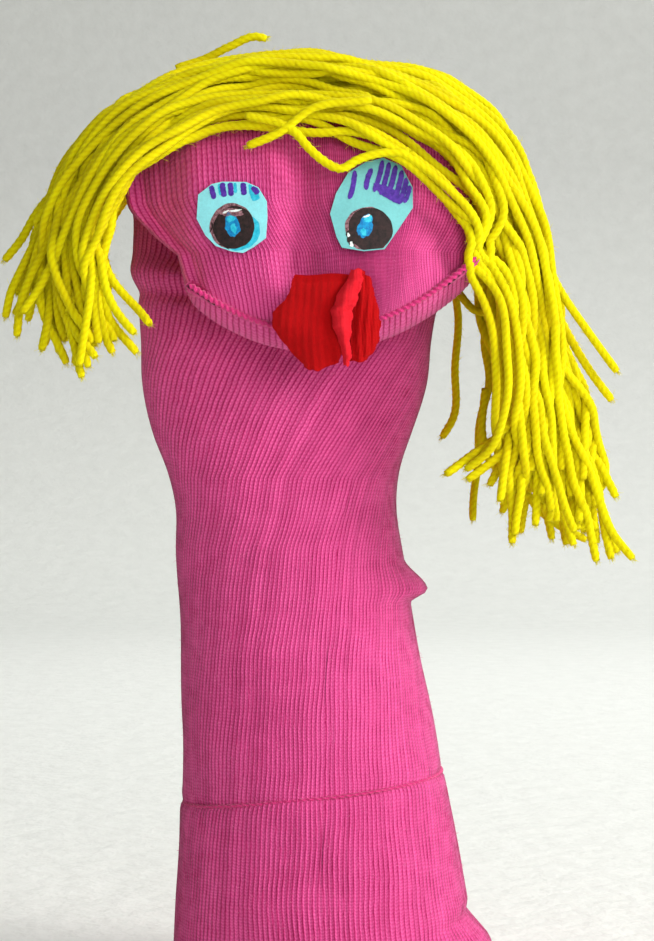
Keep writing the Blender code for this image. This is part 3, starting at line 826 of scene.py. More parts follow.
def tubes_object(name, tubes, materials, joined_on=0, fuzz=None):
    """One object from plied tubes with closed ends. The first few, which are joined_on to another object's
    tubes, have open starts."""
    points, faces, uvs = [], [], []
    total = 0
    for index, (tube_points, tube_faces, uv, around) in enumerate(tubes):
        last = len(tube_points) - around
        caps = [list(range(total + last, total + last + around))]
        if index >= joined_on:
            caps.append(list(range(total + around - 1, total - 1, -1)))
        points.append(tube_points)
        faces.extend((tube_faces + total).tolist())
        faces.extend(caps)
        uvs.append(uv)
        uvs.append(np.zeros((len(caps) * around, 2)))
        total += len(tube_points)
    if fuzz:
        fuzz_points, fuzz_faces = fuzz
        points.append(fuzz_points)
        faces += [tuple(total + k for k in face) for face in fuzz_faces]
        uvs.append(np.zeros((len(fuzz_points) // 7 * FIBRE_CORNERS, 2)))
    obj = mesh_from(name, np.concatenate(points), faces, materials)
    add_uv(obj, "yarn", np.concatenate(uvs))
    return obj


# ---------------------------------------------------------------- hair

YARN_RADIUS = 1.3
YARN_PITCH = 6.0
YARN_STEP = 1.0
STRAND_POINTS = 120
LOOSE_POINTS = 60
CROWN_X = -8
SETTLE_ROUNDS = 22
SURFACE_REACH = 12.0
SURFACE_COLUMNS = 96

# Where the innermost strands lie, from the left ends over the crown to the right ends. Each row is one
# strand: at the front, halfway to the top, at the top, halfway down the back, and low on the back.
GUIDES = np.array([
    [(-57, -44, 190), (-60, -46, 204), (-60, -49, 217), (-53, -53, 230), (-38, -55, 239), (-22, -55, 245),
     (-8, -55.5, 244), (8, -56, 241), (21, -56, 235), (31, -54, 227), (39, -51, 214), (44, -48, 197),
     (45, -45, 181), (43, -43, 167), (39, -42, 153)],
    [(-69, -36, 193), (-69, -37, 208), (-66, -38, 223), (-59, -40, 237), (-46, -42, 248), (-30, -42, 254.5),
     (-8, -42.5, 257), (12, -43, 255), (28, -42, 249), (40, -40, 239), (47, -38, 224), (52, -36, 205),
     (54, -34, 186), (56, -33, 169), (57, -33, 147)],
    [(-80, -22, 204), (-75, -22, 219), (-70, -22, 233), (-62, -21, 245), (-50, -20, 254), (-32, -19, 261.5),
     (-8, -19, 263.5), (15, -19, 261.5), (31, -20, 257), (44, -21, 247), (52, -22, 232), (57, -22, 213),
     (61, -22, 193), (68, -22, 175), (74, -22, 148)],
    [(-73, -4, 199), (-72, -4, 213), (-67, -3, 227), (-60, -1, 240), (-48, 0.5, 250), (-31, 1, 256.5),
     (-8, 1, 259), (13, 1, 256), (28, 0, 249), (39, -1, 239), (46, -3, 223), (51, -4, 205),
     (56, -5, 188), (60, -5, 171), (64, -5, 150)],
    [(-62, 9, 194), (-66, 10, 207), (-66, 11, 221), (-60, 13, 233), (-47, 14, 242), (-30, 15, 246),
     (-8, 15.5, 247), (11, 15, 245), (25, 14, 239), (36, 12, 229), (42, 10, 214), (46, 9, 197),
     (49, 8, 181), (51, 8, 167), (52, 8, 152)],
], float)
GUIDE_PLACES = np.linspace(0, 1, GUIDES.shape[1])
HEAD_MIDDLE = np.array([-9.0, -19.0, 222.0])
HEAD_SPREAD = np.array([1.9, 1.0, 1.0])

# Layers of strands: lift off the sock, first and last row of the guides, and how many
LAYERS = [(1.7, 0.0, 4.0, 26), (4.0, 0.12, 3.8, 22), (6.3, 0.25, 3.2, 17), (8.4, 0.9, 2.7, 10)]


def guide_curve(rows):
    """A strand through the guides, at a row for each of the guides' places."""
    low = np.clip(np.floor(rows).astype(int), 0, len(GUIDES) - 2)
    share = (rows - low)[:, None]
    k = np.arange(GUIDES.shape[1])
    return GUIDES[low, k] * (1 - share) + GUIDES[low + 1, k] * share


def wander(count, size, knots):
    """Smooth random drift, a few waves long."""
    return np.interp(np.linspace(0, 1, count), np.linspace(0, 1, knots), random.normal(0, size, knots))


def hair_routes():
    """The strands before they settle, each as points from its left end to its right end."""
    routes = []
    stations = GUIDES.shape[1]
    from_crown = np.abs(np.linspace(-1, 1.1, stations))
    for lift, first, last, count in LAYERS:
        for i in range(count):
            row = first + (last - first) * (i + 0.5 + random.uniform(-0.25, 0.25)) / count
            fan = from_crown**1.5
            rows = np.clip(row + wander(stations, 0.27, 6) * (0.75 + fan), 0, len(GUIDES) - 1.001)
            points = guide_curve(rows)
            away = (points - HEAD_MIDDLE) / HEAD_SPREAD
            away /= np.linalg.norm(away, axis=1, keepdims=True)
            points = points + away * lift
            points[:, 0] += wander(stations, 1.8, 6) * fan * 1.7
            points[:, 1] += wander(stations, 1.6, 6) * fan * 1.6
            points[:, 2] += wander(stations, 0.7, 8)
            for end, inner, spread in ((0, 1, (3.6, 4.0, 5.0)), (-1, -2, (4.6, 5.0, 9.0))):
                points[end] += np.clip(random.normal(0, 1, 3), -1.5, (1.5, 1.5, 0.6)) * spread
                points[inner] += random.normal(0, 1.2, 3)
            route = smooth_curve(points, STRAND_POINTS)
            route += np.stack([wander(STRAND_POINTS, size, 22) for size in (0.5, 0.9, 0.9)], axis=1)
            routes.append(route)
    return np.array(routes)


def settle(routes, surface, rounds):
    """Pushes strands apart and off the head, and keeps each one smooth."""
    strands, count, _ = routes.shape
    owner = np.repeat(np.arange(strands), count)
    wanted = 2 * YARN_RADIUS * 0.92
    rest = np.linalg.norm(np.diff(routes, axis=1), axis=2).mean(axis=1)[:, None, None]
    p = routes.copy()
    for _ in range(rounds):
        flat = p.reshape(-1, 3)
        tree = KDTree(len(flat))
        for i, point in enumerate(flat.tolist()):
            tree.insert(point, i)
        tree.balance()
        push = np.zeros_like(flat)
        hits = np.zeros(len(flat))
        for i, point in enumerate(flat.tolist()):
            for _, j, distance in tree.find_range(point, wanted):
                if j > i and owner[j] != owner[i]:
                    apart = flat[i] - flat[j]
                    length = max(distance, 0.05)
                    move = apart / length * (wanted - length) * 0.5
                    push[i] += move
                    push[j] -= move
                    hits[i] += 1
                    hits[j] += 1
        flat = flat + push / np.maximum(hits, 1)[:, None] ** 0.5
        for i, point in enumerate(flat.tolist()):
            near, normal, _, _ = surface.find_nearest(point, SURFACE_REACH)
            if near is not None:
                out = (Vector(point) - near).dot(normal)
                if out < YARN_RADIUS:
                    flat[i] += np.array(normal) * (YARN_RADIUS - out)
        p = flat.reshape(strands, count, 3)
        middle = 0.5 * (p[:, :-2] + p[:, 2:])
        p[:, 1:-1] += 0.3 * (middle - p[:, 1:-1])
        for _ in range(3):
            span = np.diff(p, axis=1)
            length = np.linalg.norm(span, axis=2, keepdims=True)
            fix = span * (1 - rest / np.maximum(length, 1e-6)) * 0.4
            p[:, :-1] += fix * 0.5
            p[:, 1:] -= fix * 0.5
    return p


def head_surface():
    """The sock's outside as a coarse surface that the strands lie on."""
    places = evenly(150, FACE_TOP, 3) + list(np.linspace(FACE_TOP, TOE_END, 14))[1:]
    grid = skin_rows(places, np.arange(SURFACE_COLUMNS) / SURFACE_COLUMNS)
    faces = grid_faces(len(places), SURFACE_COLUMNS)
    return BVHTree.FromPolygons(grid.reshape(-1, 3).tolist(), faces.tolist())


# Single strands that stand clear of the mass, each from its hidden end to its cut end
LOOSE_LEFT = [
    [(-76, -14, 236), (-84, -15, 226), (-88.5, -16, 218), (-93, -16, 212.5)],
    [(-72, -34, 226), (-80, -36, 212), (-85.5, -37, 199), (-86.5, -38, 189.5)],
    [(-62, -40, 226), (-66, -42, 210), (-70, -42, 198), (-71.5, -42, 190)],
    [(-60, -44, 222), (-62, -45, 207), (-60.5, -45, 195), (-52.5, -45, 184.5)],
]
LOOSE_RIGHT = [
    [(58, -30, 200), (64, -30, 180), (69.6, -30, 161.6), (73.8, -30, 152.8), (77.3, -30, 142.6),
     (80.4, -30, 134.8), (86.3, -30, 127.1)],
    [(52, -20, 196), (58, -20, 178), (62.7, -20, 161.7), (68.7, -20, 154.5), (71.9, -20, 145.5),
     (73.6, -20, 138.8), (77.3, -20, 135.3)],
    [(52, 4, 196), (56, 2, 178), (56.6, 0, 157.8), (57.2, 0, 150.2), (61, 0, 142.2), (67.2, 0, 136.6),
     (76.4, 0, 131.6)],
    [(46, -10, 176), (45.4, -10, 161), (47.9, -10, 154), (54.8, -10, 150.5), (61, -10, 150.8),
     (66.6, -10, 154),
     (69, -10, 160), (67, -10, 170)],
    [(30, 14, 214), (37.5, 13, 208), (39.2, 12.5, 200), (38.4, 12, 183.1), (37.7, 12, 167.3),
     (34.5, 12, 161.9)],
    [(33, 8, 216), (37.5, 6, 208), (40.5, 5, 203), (44, 5, 199.5), (50, 4, 199)],
    [(60, -26, 216), (66, -28, 203), (74, -29, 191), (82, -29, 180)],
    [(62, -22, 206), (68, -24, 192), (75, -25, 180), (81, -25, 172)],
]
LOOSE_FACE = [
    [(12, -60, 252), (-4, -60.5, 249.5), (-13, -60.5, 243), (-21.5, -60, 239.5)],
    [(-22, -59, 248), (-9, -60.5, 243.5), (-4.5, -60.5, 238.5), (0, -60.5, 234.8), (3.5, -60.8, 233.2),
     (8, -60.5, 235.6), (13, -60.2, 237.3), (22, -59, 238)],
    [(-44, -10, 269), (-36, -10, 271.5), (-28, -12, 275), (-20.5, -13, 277.6), (-17.5, -13, 277)],
]


def strand_tubes(curves, phases, ends=(0.8, 0.8)):
    """Yarn along each curve. The phase is the plies' turn where the curve starts."""
    return [plied_tube(curve, YARN_RADIUS, YARN_PLIES, YARN_PITCH, YARN_STEP, phase, ends)
            for curve, phase in zip(curves, phases)]


def halves(routes):
    """Each strand's left part, from the crown to its left end, and its right part."""
    left, right = [], []
    for route in routes:
        middle = int(np.argmin(np.abs(route[:, 0] - CROWN_X)))
        left.append(route[: middle + 1][::-1])
        right.append(route[middle:])
    return left, right


def crimp(routes):
    """The kinks that yarn keeps from its skein."""
    run = np.arange(STRAND_POINTS)
    bent = routes.copy()
    for route in bent:
        for axis, size in ((0, 0.30), (1, 0.45), (2, 0.40)):
            waves = random.uniform(0.30, 0.62, 2)
            starts = random.uniform(0, 6.3, 2)
            first, second = (np.sin(wave * run + start) for wave, start in zip(waves, starts))
            route[:, axis] += size * (first + 0.6 * second)
    return bent


def numbered(start, first, last):
    return [f"{start}_{i}" for i in range(first, last + 1)]


def make_loose(loose, phases):
    return strand_tubes([smooth_curve(points, LOOSE_POINTS) for points in loose], phases)


def make_hair():
    routes = crimp(settle(hair_routes(), head_surface(), SETTLE_ROUNDS))
    left, right = halves(routes)
    half = len(left) // 2
    order = np.argsort([route[:, 1].mean() for route in routes])
    front, back = order[:half], order[half:]
    turns = random.uniform(0, 2 * math.pi, len(left))
    # Side, place, strands, loose strands, and the CAD nodes that the piece stands for
    sets = [
        ("left", "front", front, LOOSE_LEFT, numbered("crown_hank", 1, 4) + numbered("left_hank", 1, 4)),
        ("left", "back", back, [], numbered("left_hank", 5, 7) + ["left_long_strand", "left_outer_strand"]),
        ("right", "front", front, LOOSE_RIGHT[:2] + LOOSE_RIGHT[6:],
         numbered("crown_hank", 5, 7) + numbered("right_hank", 1, 4) + ["right_long_strand"]),
        ("right", "back", back, LOOSE_RIGHT[2:6],
         numbered("right_hank", 5, 7) + ["right_stray_strand", "right_curved_strand"]),
    ]
    for side, place, chosen, loose, nodes in sets:
        is_left = side == "left"
        curves = [(left if is_left else right)[i] for i in chosen]
        phases = math.pi - turns[chosen] if is_left else turns[chosen]
        tubes = strand_tubes(curves, phases, (1.0, 0.8))
        tubes += make_loose(loose, random.uniform(0, 6.3, len(loose)))
        piece = tubes_object(f"yarn_{side}_{place}", tubes, [YARN], len(curves), yarn_fuzz(tubes))
        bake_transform(piece)
        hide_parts(*nodes)
    tubes = make_loose(LOOSE_FACE, (0.0, 2.0, 4.0))
    fringe = tubes_object("yarn_fringe_strands", tubes, [YARN], fuzz=yarn_fuzz(tubes))
    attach(fringe, "face")
    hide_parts("forehead_strand", "forehead_loop_strand", "crown_tuft_strand")


make_hair()

# ---------------------------------------------------------------- seams

SEAM_RADIUS = 1.1
HEM_RADIUS = 0.62
HEM_POINTS = 400


def make_thread(name, tube, body, node):
    piece = tubes_object(name, [tube], [THREAD])
    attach(piece, body)
    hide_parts(node)


def make_toe_seam():
    """The linked seam: a twisted ridge of thread along the toe's closed lips."""
    turns = np.radians(np.linspace(176, 4, 70))
    upper, lower = (fold_points(TOE_END, a, ring(TOE_END, a)) for a in (turns, -turns % (2 * math.pi)))
    line = (upper + lower) / 2 - [0, 0.3, 0.45]
    tube = plied_tube(line, SEAM_RADIUS, 2, 3.4, 0.45, tapers=(0.5, 0.5), per_ply=5, ridge_share=0.2)
    make_thread("seam_stitches", tube, "face", "toe_seam")


def make_hem():
    """The welt's chain stitch, a low row of slanted stitches round the top of the cuff."""
    line = []
    for angle in 2 * math.pi * (np.append(np.arange(HEM_POINTS), 0) / HEM_POINTS):
        height = hem_height(math.cos(angle))
        one = np.array([angle])
        line.append(fold_points(height, one, ring(height, one, 0.25))[0])
    tube = plied_tube(np.array(line), HEM_RADIUS, 2, 4.2, 0.5, per_ply=5, ridge_share=0.25)
    make_thread("hem_stitches", tube, "sleeve", "cuff_hem_stitch")


make_toe_seam()
make_hem()

# ---------------------------------------------------------------- eyes

LEFT_EYE_PLACE = np.array((-26.0, -54.7, 221.0))
RIGHT_EYE_PLACE = np.array((12.0, -56.2, 224.0))
LEFT_EYE_FACING = (-0.16, -1.0, 0.02)
RIGHT_EYE_FACING = (0.07, -1.0, 0.16)
LEFT_EYE_OUTLINE = [(-9.3, 6.2), (-5.5, 9.0), (-2.6, 9.6), (4.1, 9.4), (7.4, 7.9), (9.7, 4.1), (9.9, 0.0),
                    (9.5, -5.9), (6.2, -8.3), (3.3, -9.9), (-0.1, -9.4), (-4.3, -7.9), (-7.2, -5.0),
                    (-9.7, -0.4)]
RIGHT_EYE_OUTLINE = [(-1.4, 12.0), (3.5, 13.3), (8.4, 11.2), (11.4, 5.2), (11.4, -0.5), (7.5, -6.4),
                     (3.5, -12.2),
                     (-2.2, -12.8), (-8.1, -11.8), (-9.5, -8.9), (-11.2, -2.4), (-9.5, 3.3), (-6.1, 9.1)]
CARD_THICKNESS = 0.4
CARD_BEND = 0.004
INK_LIFT = 0.05


class Card:
    """A bent card's own frame: u to the right, v up, and out towards the viewer."""

    def __init__(self, place, facing):
        self.place = place
        self.out = np.array(Vector(facing).normalized())
        up = np.array((0.0, 0.0, 1.0))
        self.up = up - self.out * up.dot(self.out)
        self.up /= np.linalg.norm(self.up)
        self.right = np.cross(self.up, self.out)

    def points(self, flat, lift):
        flat = np.asarray(flat, float)
        bend = CARD_BEND * flat[:, 0] ** 2 + 0.25 * CARD_BEND * (flat[:, 1] - 3) ** 2
        depth = lift - bend
        return self.place + flat[:, :1] * self.right + flat[:, 1:2] * self.up + depth[:, None] * self.out


def densely(outline, step=0.6):
    """Points along an outline's edges."""
    points = []
    for a, b in zip(outline, list(outline[1:]) + [outline[0]]):
        a, b = np.array(a, float), np.array(b, float)
        pieces = max(1, int(np.linalg.norm(b - a) / step))
        points += [a + (b - a) * k / pieces for k in range(pieces)]
    return np.array(points)


def patch(card, outline, lift, rings=6):
    """A filled patch on the card: rings that shrink to the outline's middle."""
    outline = np.asarray(outline)
    middle = outline.mean(axis=0)
    shrunk = [middle + (outline - middle) * (1 - k / rings) for k in range(rings)]
    flat = np.concatenate(shrunk + [middle[None]])
    count = len(outline)
    faces = grid_faces(rings, count).tolist()
    tip = rings * count
    inner = (rings - 1) * count
    faces += [(inner + i, inner + (i + 1) % count, tip) for i in range(count)]
    return card.points(flat, lift), faces


def blob(centre, half_width, half_height, tilt, roughness, count=72):
    """A marker blob's outline: an ellipse with an uneven edge."""
    angles = np.linspace(0, 2 * math.pi, count, endpoint=False)
    edge = np.ones(count)
    for wave in (2, 3, 5, 8, 13):
        edge += roughness / wave**0.5 * np.cos(wave * angles + random.uniform(0, 6.3))
    u, v = half_width * edge * np.cos(angles), half_height * edge * np.sin(angles)
    cosine, sine = math.cos(tilt), math.sin(tilt)
    return np.stack([centre[0] + u * cosine - v * sine, centre[1] + u * sine + v * cosine], axis=1)


def stroke(start, end, width, bow=0.0, ragged=0.12):
    """A marker stroke's outline, with rounded ends and a slightly uneven edge."""
    start, end = np.array(start, float), np.array(end, float)
    along = end - start
    length = np.linalg.norm(along)
    along /= length
    across = np.array((-along[1], along[0]))
    t = np.linspace(0, 1, 14)
    middle = start + np.outer(t * length, along) + np.outer(bow * np.sin(math.pi * t), across)
    half = width / 2 * np.sqrt(np.clip(1 - (2 * np.abs(t - 0.5)) ** 8, 0.12, 1))
    one = middle + across * (half * (1 + random.uniform(-ragged, ragged, 14)))[:, None]
    other = middle - across * (half * (1 + random.uniform(-ragged, ragged, 14)))[:, None]
    return np.concatenate([one, other[::-1]])


def clip_to(outline, points, margin=0.25):
    """Points outside a convex outline are pulled in to its edge."""
    points = np.array(points, float)
    corners = np.asarray(outline, float)
    for a, b in zip(corners, np.roll(corners, -1, axis=0)):
        edge = (b - a) / np.linalg.norm(b - a)
        inward = np.array((edge[1], -edge[0]))
        if (corners.mean(axis=0) - a).dot(inward) < 0:
            inward = -inward
        short = np.minimum((points - a).dot(inward) - margin, 0)
        points -= short[:, None] * inward
    return points


def make_card(name, card, outline, paper):
    edge = densely(outline)
    front, front_faces = patch(card, edge, CARD_THICKNESS / 2, 8)
    back = card.points(edge, -CARD_THICKNESS / 2)
    count = len(edge)
    side = [(i, len(front) + i, len(front) + (i + 1) % count, (i + 1) % count) for i in range(count)]
    back_face = [tuple(len(front) + i for i in range(count))]
    piece = mesh_from(name, np.concatenate([front, back]), front_faces + side + back_face, [paper], False)
    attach(piece, "face")
    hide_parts(f"{name}_card")


def add_ink(name, card, outline, drawings):
    """One object from drawings, each given as (outline, lift step, ink)."""
    points, faces, slots, total = [], [], [], 0
    for shape, step, ink in drawings:
        lift = CARD_THICKNESS / 2 + INK_LIFT * (step + 1)
        patch_points, patch_faces = patch(card, clip_to(outline, shape), lift)
        points.append(patch_points)
        faces += [tuple(int(i) + total for i in face) for face in patch_faces]
        slots += [ink] * len(patch_faces)
        total += len(patch_points)
    obj = mesh_from(name, np.concatenate(points), faces, INKS, smooth=False)
    obj.data.polygons.foreach_set("material_index", slots)
    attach(obj, "face")


INKS = [PURPLE, BLACK, BLUE, CYAN, SMEAR, PAINTED_HIGHLIGHT]
PURPLE_INK, BLACK_INK, BLUE_INK, CYAN_INK, SMEAR_INK, HIGHLIGHT_INK = range(6)


# Each mark is drawn as (outline, lift step, ink), lowest first. The white marks are painted highlights where
# light glints on the ink.
LEFT_EYE_MARKS = [
    (stroke((-3.4, 9.0), (-2.9, 5.9), 1.0), 0, CYAN_INK),
    (stroke((1.0, 9.2), (1.2, 6.4), 0.9), 0, CYAN_INK),
    (stroke((5.1, 8.8), (5.6, 5.6), 1.0), 0, CYAN_INK),
    (stroke((6.1, 6.8), (6.9, 4.3), 2.3), 0, CYAN_INK),
    (stroke((-5.7, 8.6), (-4.7, 4.9), 1.5), 1, PURPLE_INK),
    (stroke((-2.6, 9.3), (-1.9, 5.4), 1.6), 1, PURPLE_INK),
    (stroke((-0.3, 9.3), (0.0, 5.6), 1.5), 1, PURPLE_INK),
    (stroke((3.2, 9.2), (3.6, 5.8), 1.6), 1, PURPLE_INK),
    (stroke((5.9, 8.2), (7.4, 6.1), 1.7), 1, PURPLE_INK),
    (blob((2.6, -4.2), 5.3, 5.0, 0.3, 0.03), 0, CYAN_INK),
    (blob((0.2, -2.6), 6.1, 6.3, 0.2, 0.02), 0, SMEAR_INK),
    (blob((0.75, -2.95), 5.75, 5.75, 0, 0.02), 1, BLACK_INK),
    (blob((0.1, 1.1), 3.4, 1.1, 0.0, 0.10), 2, SMEAR_INK),
    # Painted highlights on the smear above the pupil
    (blob((1.2, 1.6), 1.6, 0.30, 0.15, 0.18), 3, HIGHLIGHT_INK),
    (blob((-1.5, 1.3), 0.9, 0.28, 0.5, 0.2), 3, HIGHLIGHT_INK),
    (blob((0.3, -2.3), 2.1, 3.1, 0.15, 0.10), 2, BLUE_INK),
    (blob((-0.1, -0.6), 1.3, 0.8, 0.3, 0.14), 3, CYAN_INK),
    (blob((0.7, -3.2), 0.8, 1.3, 0.1, 0.15), 3, CYAN_INK),
    (stroke((-6.0, -4.2), (-5.5, -1.2), 0.35, -0.5), 1, BLACK_INK),
    (stroke((-3.6, -7.4), (-0.6, -8.9), 0.3, 0.2), 1, BLACK_INK),
]
RIGHT_EYE_FAN = [((3.3, 12.5), (0.8, 3.6), 1.4), ((5.1, 12.0), (2.5, 2.8), 1.4),
                 ((6.9, 11.2), (4.3, 2.0), 1.5), ((8.6, 9.8), (6.1, 0.8), 1.5),
                 ((9.9, 7.8), (7.5, 0.3), 1.5), ((10.7, 5.6), (9.0, 0.7), 1.2)]
RIGHT_EYE_MARKS = [
    (stroke((-4.3, 9.6), (-6.0, 1.6), 1.45, 0.3), 1, PURPLE_INK),
    (stroke((0.3, 10.2), (-1.4, 4.2), 1.45, -0.4), 1, PURPLE_INK),
    (blob((4.9, 3.3), 4.4, 1.6, -0.5, 0.08), 1, PURPLE_INK),
    *((stroke(top, bottom, width, 0.25), 2, PURPLE_INK) for top, bottom, width in RIGHT_EYE_FAN),
    (blob((-0.9, -6.9), 6.3, 6.3, 0, 0.03), 0, SMEAR_INK),
    (blob((-0.3, -6.8), 6.0, 6.1, 0, 0.02), 1, BLACK_INK),
    (blob((-5.6, -9.3), 1.3, 2.0, 0.2, 0.16), 1, BLACK_INK),
    # Painted highlights on the dark blot
    (blob((-5.5, -11.0), 0.5, 0.7, 0.4, 0.2), 2, HIGHLIGHT_INK),
    (blob((-6.3, -8.4), 0.35, 0.6, 0.4, 0.2), 2, HIGHLIGHT_INK),
    (blob((-1.7, -6.0), 1.9, 3.5, -0.42, 0.10), 2, BLUE_INK),
    (blob((-0.9, -3.9), 1.2, 0.9, 0.3, 0.16), 3, CYAN_INK),
    # A painted highlight on the pupil
    (blob((-1.3, -3.2), 0.9, 0.3, 0.3, 0.2), 4, HIGHLIGHT_INK),
    (blob((-2.2, -7.6), 0.8, 1.0, 0.2, 0.15), 3, CYAN_INK),
]
EYES = [
    ("left_eye", LEFT_EYE_PLACE, LEFT_EYE_FACING, LEFT_EYE_OUTLINE, LEFT_CARD, LEFT_EYE_MARKS),
    ("right_eye", RIGHT_EYE_PLACE, RIGHT_EYE_FACING, RIGHT_EYE_OUTLINE, RIGHT_CARD, RIGHT_EYE_MARKS),
]
for eye, place, facing, outline, paper, marks in EYES:
    card = Card(place, facing)
    make_card(eye, card, outline, paper)
    add_ink(f"{eye}_ink", card, outline, marks)

# ---------------------------------------------------------------- mouth

# Each sheet of crepe paper: rows of (height, left edge, right edge, depth at the left, middle and right)
CREPE_SHEETS = {
    "crepe_left": [
        (205.2, -8.8, 6.5, -56.2, -57.0, -57.4), (203.0, -9.4, 7.0, -57.4, -58.8, -59.0),
        (200.0, -10.2, 6.5, -57.8, -59.2, -59.0), (197.7, -11.8, 5.5, -57.6, -59.4, -59.2),
        (194.6, -15.0, 5.0, -57.2, -59.8, -59.2), (191.0, -14.8, 4.6, -57.4, -60.0, -59.0),
        (187.3, -12.4, 4.4, -57.6, -59.8, -58.8), (184.0, -9.6, 4.2, -57.6, -59.2, -58.4),
        (181.0, -6.9, 3.2, -57.4, -58.6, -58.0), (179.0, -4.8, -2.0, -57.4, -57.8, -57.8)],
    "crepe_fold": [
        (206.4, 6.6, 9.4, -59.0, -60.0, -59.4), (203.0, 5.0, 9.3, -59.6, -61.6, -60.4),
        (199.0, 2.4, 8.4, -60.2, -62.6, -60.8), (195.0, 1.1, 7.2, -60.2, -63.0, -60.8),
        (190.7, 1.5, 6.6, -60.0, -62.8, -60.6), (187.4, 3.0, 6.2, -59.8, -62.0, -60.4),
        (183.5, 3.9, 6.4, -59.4, -61.0, -60.0), (180.2, 4.5, 6.0, -59.0, -60.0, -59.6)],
    "crepe_right": [
        (206.0, 7.0, 10.4, -58.2, -58.6, -57.2), (204.0, 6.8, 12.0, -58.6, -59.2, -57.6),
        (200.5, 6.6, 12.6, -58.6, -59.8, -57.8), (195.2, 6.4, 14.3, -58.6, -60.2, -58.0),
        (190.0, 6.2, 14.2, -58.4, -60.0, -58.0), (186.5, 6.0, 13.8, -58.2, -59.8, -57.8),
        (183.2, 6.0, 12.2, -58.0, -59.4, -57.6), (181.4, 6.2, 10.4, -57.8, -58.8, -57.4)],
}
CREPE_THICKNESS = 0.25
CREPE_ROWS = 90
CREPE_COLUMNS = 80
PLEAT_WIDTH = 2.1
WRINKLE_WIDTH = 0.85


def crepe_sheet(side, pleating, paper):
    """A petal of crumpled and pleated crepe paper, with its real thickness."""
    down, across = CREPE_ROWS, CREPE_COLUMNS
    rows = np.array(CREPE_SHEETS[f"crepe_{side}"], float)
    marks = np.linspace(0, 1, len(rows))
    t = np.linspace(0, 1, down)
    smooth = np.stack([np.interp(t, marks, rows[:, k]) for k in range(6)], axis=1)
    s = np.linspace(0, 1, across)
    left, right = smooth[:, 1:2], smooth[:, 2:3]
    ragged = np.stack([wander(down, 0.20, 20), wander(down, 0.20, 20)], axis=1)
    ragged += random.normal(0, 0.05, (down, 2))
    x = left + ragged[:, :1] + (right + ragged[:, 1:] - left) * s[None, :]
    z = np.repeat(smooth[:, :1], across, axis=1) + 0.5 * np.sin(7 * s)[None, :] * (t[:, None] - 0.5)
    bow = 1 - (2 * s - 1) ** 2
    ends = smooth[:, 3:4] * (1 - s) + smooth[:, 5:6] * s
    y = ends * (1 - bow) + smooth[:, 4:5] * bow
    phase = random.uniform(0, 6.3)
    pleat = np.sin(x * 2 * math.pi / PLEAT_WIDTH + 1.3 * np.sin(z / 4 + phase)) * 0.28 * pleating
    fine = np.sin(x * 2 * math.pi / WRINKLE_WIDTH + 2.2 * np.sin(z / 2.3 + phase)) * 0.09 * pleating
    crumple = 0.8 * np.sin(x / 2.7 + z / 4.9 + phase) * np.sin(z / 3.1 - x / 5.3)
    y = y - pleat - fine - crumple * 0.6
    front = np.stack([x, y, z], axis=2)
    back = front + [0, CREPE_THICKNESS, 0]
    count = down * across
    faces = grid_faces(down, across, wrap=False)
    i, j = np.arange(across), np.arange(down) * across
    border = np.concatenate([i, j[1:] + across - 1, (count - across + i)[::-1][1:], j[::-1][1:-1]])
    sides = [(int(a), int(b), int(b) + count, int(a) + count) for a, b in zip(border, np.roll(border, -1))]
    points = np.concatenate([front.reshape(-1, 3), back.reshape(-1, 3)])
    faces = faces.tolist() + (faces[:, ::-1] + count).tolist() + sides
    obj = mesh_from(f"crepe_{side}", points, faces, [paper])
    corners = np.zeros(len(obj.data.loops), np.int32)
    obj.data.loops.foreach_get("vertex_index", corners)
    add_uv(obj, "crepe", points[corners][:, [0, 2]] / [4, 16])
    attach(obj, "face")
    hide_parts(f"mouth_paper_{side}")


# The folded petal takes the brighter copy of the red crepe, which is painted light
for side, pleating, paper in (("left", 0.30, CREPE), ("fold", 0.30, CREPE_LIT_COPY), ("right", 0.8, CREPE)):
    crepe_sheet(side, pleating, paper)

for glue_node in ("left_eye_glue", "right_eye_glue", "mouth_glue"):
    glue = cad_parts[glue_node]
    glue.data.materials.clear()
    glue.data.materials.append(GLUE)

# ---------------------------------------------------------------- camera, lights, floor

CAMERA_DISTANCE = 0.70
CAMERA_HEIGHT = 0.152
CAMERA_LENS = 90.8
SENSOR_WIDTH = 36
WORLD_COLOUR = (1.0, 0.95, 0.88, 1)
WORLD_STRENGTH = 0.12

# Name, place, size, watts, colour, and the point it aims at
LIGHTS = [
    ("key", (1.15, -0.66, 0.80), 0.6, 19, (1.0, 0.98, 0.95), (0, 0, 0.15)),
    ("left", (-0.9, -0.9, 0.35), 1.0, 0.35, (1.0, 0.62, 0.42), (0, 0, 0.15)),
    ("front", (0.35, -1.3, 0.40), 0.6, 6.5, (1.0, 0.98, 0.96), (0, 0, 0.15)),
    ("back", (0.4, 1.0, 1.7), 0.9, 24.0, (1.0, 1.0, 1.0), (0.3, 1.1, 0.0)),
]


def make_stage():
    scene = bpy.context.scene
    camera = bpy.data.objects.new("camera", bpy.data.cameras.new("camera"))
    camera.data.lens = CAMERA_LENS
    camera.data.sensor_width = SENSOR_WIDTH
    camera.location = (0, -CAMERA_DISTANCE, CAMERA_HEIGHT)
    camera.rotation_euler = (math.pi / 2, 0, 0)
    scene.collection.objects.link(camera)
    scene.camera = camera
    scene.view_settings.view_transform = "Standard"
    for light in LIGHTS:
        add_light(*light)
    world = bpy.data.worlds.new("pale_room")
    world.use_nodes = True
    background = world.node_tree.nodes["Background"]
    background.inputs[0].default_value = WORLD_COLOUR
    background.inputs[1].default_value = WORLD_STRENGTH
    scene.world = world
    make_backdrop()


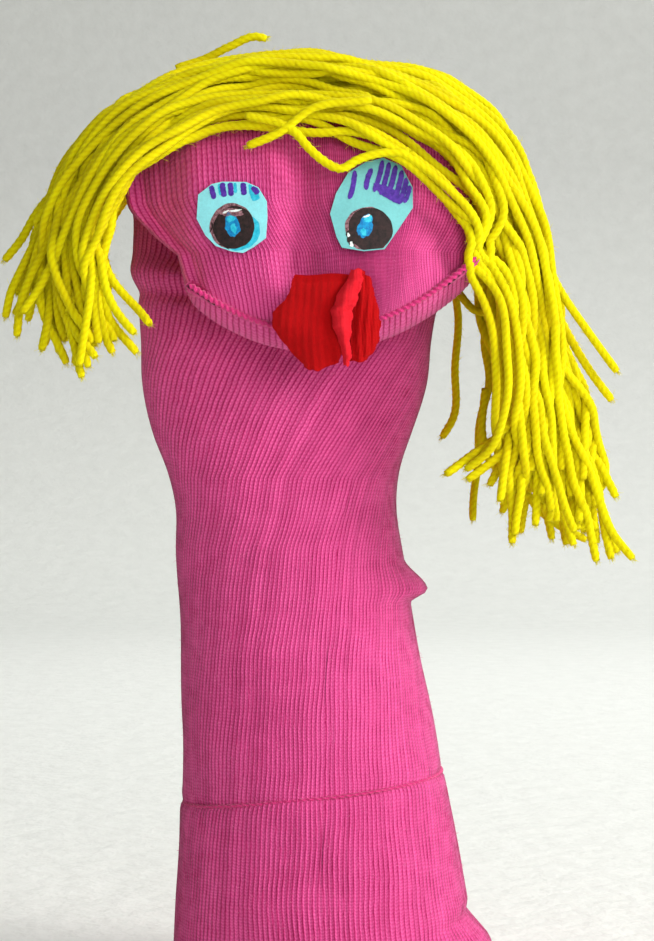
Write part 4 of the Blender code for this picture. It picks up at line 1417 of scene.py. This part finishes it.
FLOOR_RADIUS = 1600.0
SWEEP_RADIUS = 900.0
WALL_TOP = 2400.0
FLOOR_HEIGHT = -0.6
SWEEP_COLUMNS = 144
SWEEP_ROWS = 24
# Where the painted shade on the sweep starts, and the height over which it deepens
WALL_SHADE_START = 0.05
WALL_SHADE_LENGTH = 0.5


def make_backdrop():
    """A round studio sweep: a pale floor that curves up into a wall all round, beyond every camera. Its
    colour grows darker with height, as painted shade.
    """
    nodes = Nodes("pale_wall")
    place = nodes.place()
    plaster = nodes.noise(place, 60.0, 4.0, 0.6)
    # The sweep is pale low down and darker higher up: painted shade, a fall-off of light painted into its
    # colour
    low = nodes.ramp(plaster, [(0.3, (0.80, 0.82, 0.79)), (0.7, (0.84, 0.86, 0.83))])
    high = nodes.ramp(plaster, [(0.3, (0.60, 0.61, 0.59)), (0.7, (0.64, 0.65, 0.63))])
    height = nodes.math("SUBTRACT", nodes.split(place)[2], WALL_SHADE_START)
    upper_wall_shade = nodes.math("MULTIPLY", height, 1 / WALL_SHADE_LENGTH, clamp=True)
    wall = nodes.finish(nodes.mix(upper_wall_shade, low, high), 0.9, nodes.bump(plaster, 0.006, 0.35), specular=0.1)
    profile = [(r, FLOOR_HEIGHT) for r in (60.0, 200.0, FLOOR_RADIUS)]
    for k in range(1, SWEEP_ROWS + 1):
        angle = math.pi / 2 * k / SWEEP_ROWS
        climbed = SWEEP_RADIUS * (1 - math.cos(angle))
        profile.append((FLOOR_RADIUS + SWEEP_RADIUS * math.sin(angle), FLOOR_HEIGHT + climbed))
    profile.append((FLOOR_RADIUS + SWEEP_RADIUS, WALL_TOP))
    turns = np.linspace(0, 2 * math.pi, SWEEP_COLUMNS, endpoint=False)
    points = [(r * math.cos(turn), r * math.sin(turn), z) for r, z in profile for turn in turns]
    faces = grid_faces(len(profile), SWEEP_COLUMNS)[:, ::-1].tolist() + [list(range(SWEEP_COLUMNS))]
    floor = mesh_from("floor", points, faces, [wall])


def add_light(name, place, size, watts, colour, target):
    light = bpy.data.lights.new(name, "AREA")
    light.size = size
    light.energy = watts
    light.color = colour
    obj = bpy.data.objects.new(name, light)
    obj.location = place
    aim = Vector(target) - Vector(place)
    obj.rotation_euler = aim.to_track_quat("-Z", "Y").to_euler()
    bpy.context.scene.collection.objects.link(obj)


make_stage()
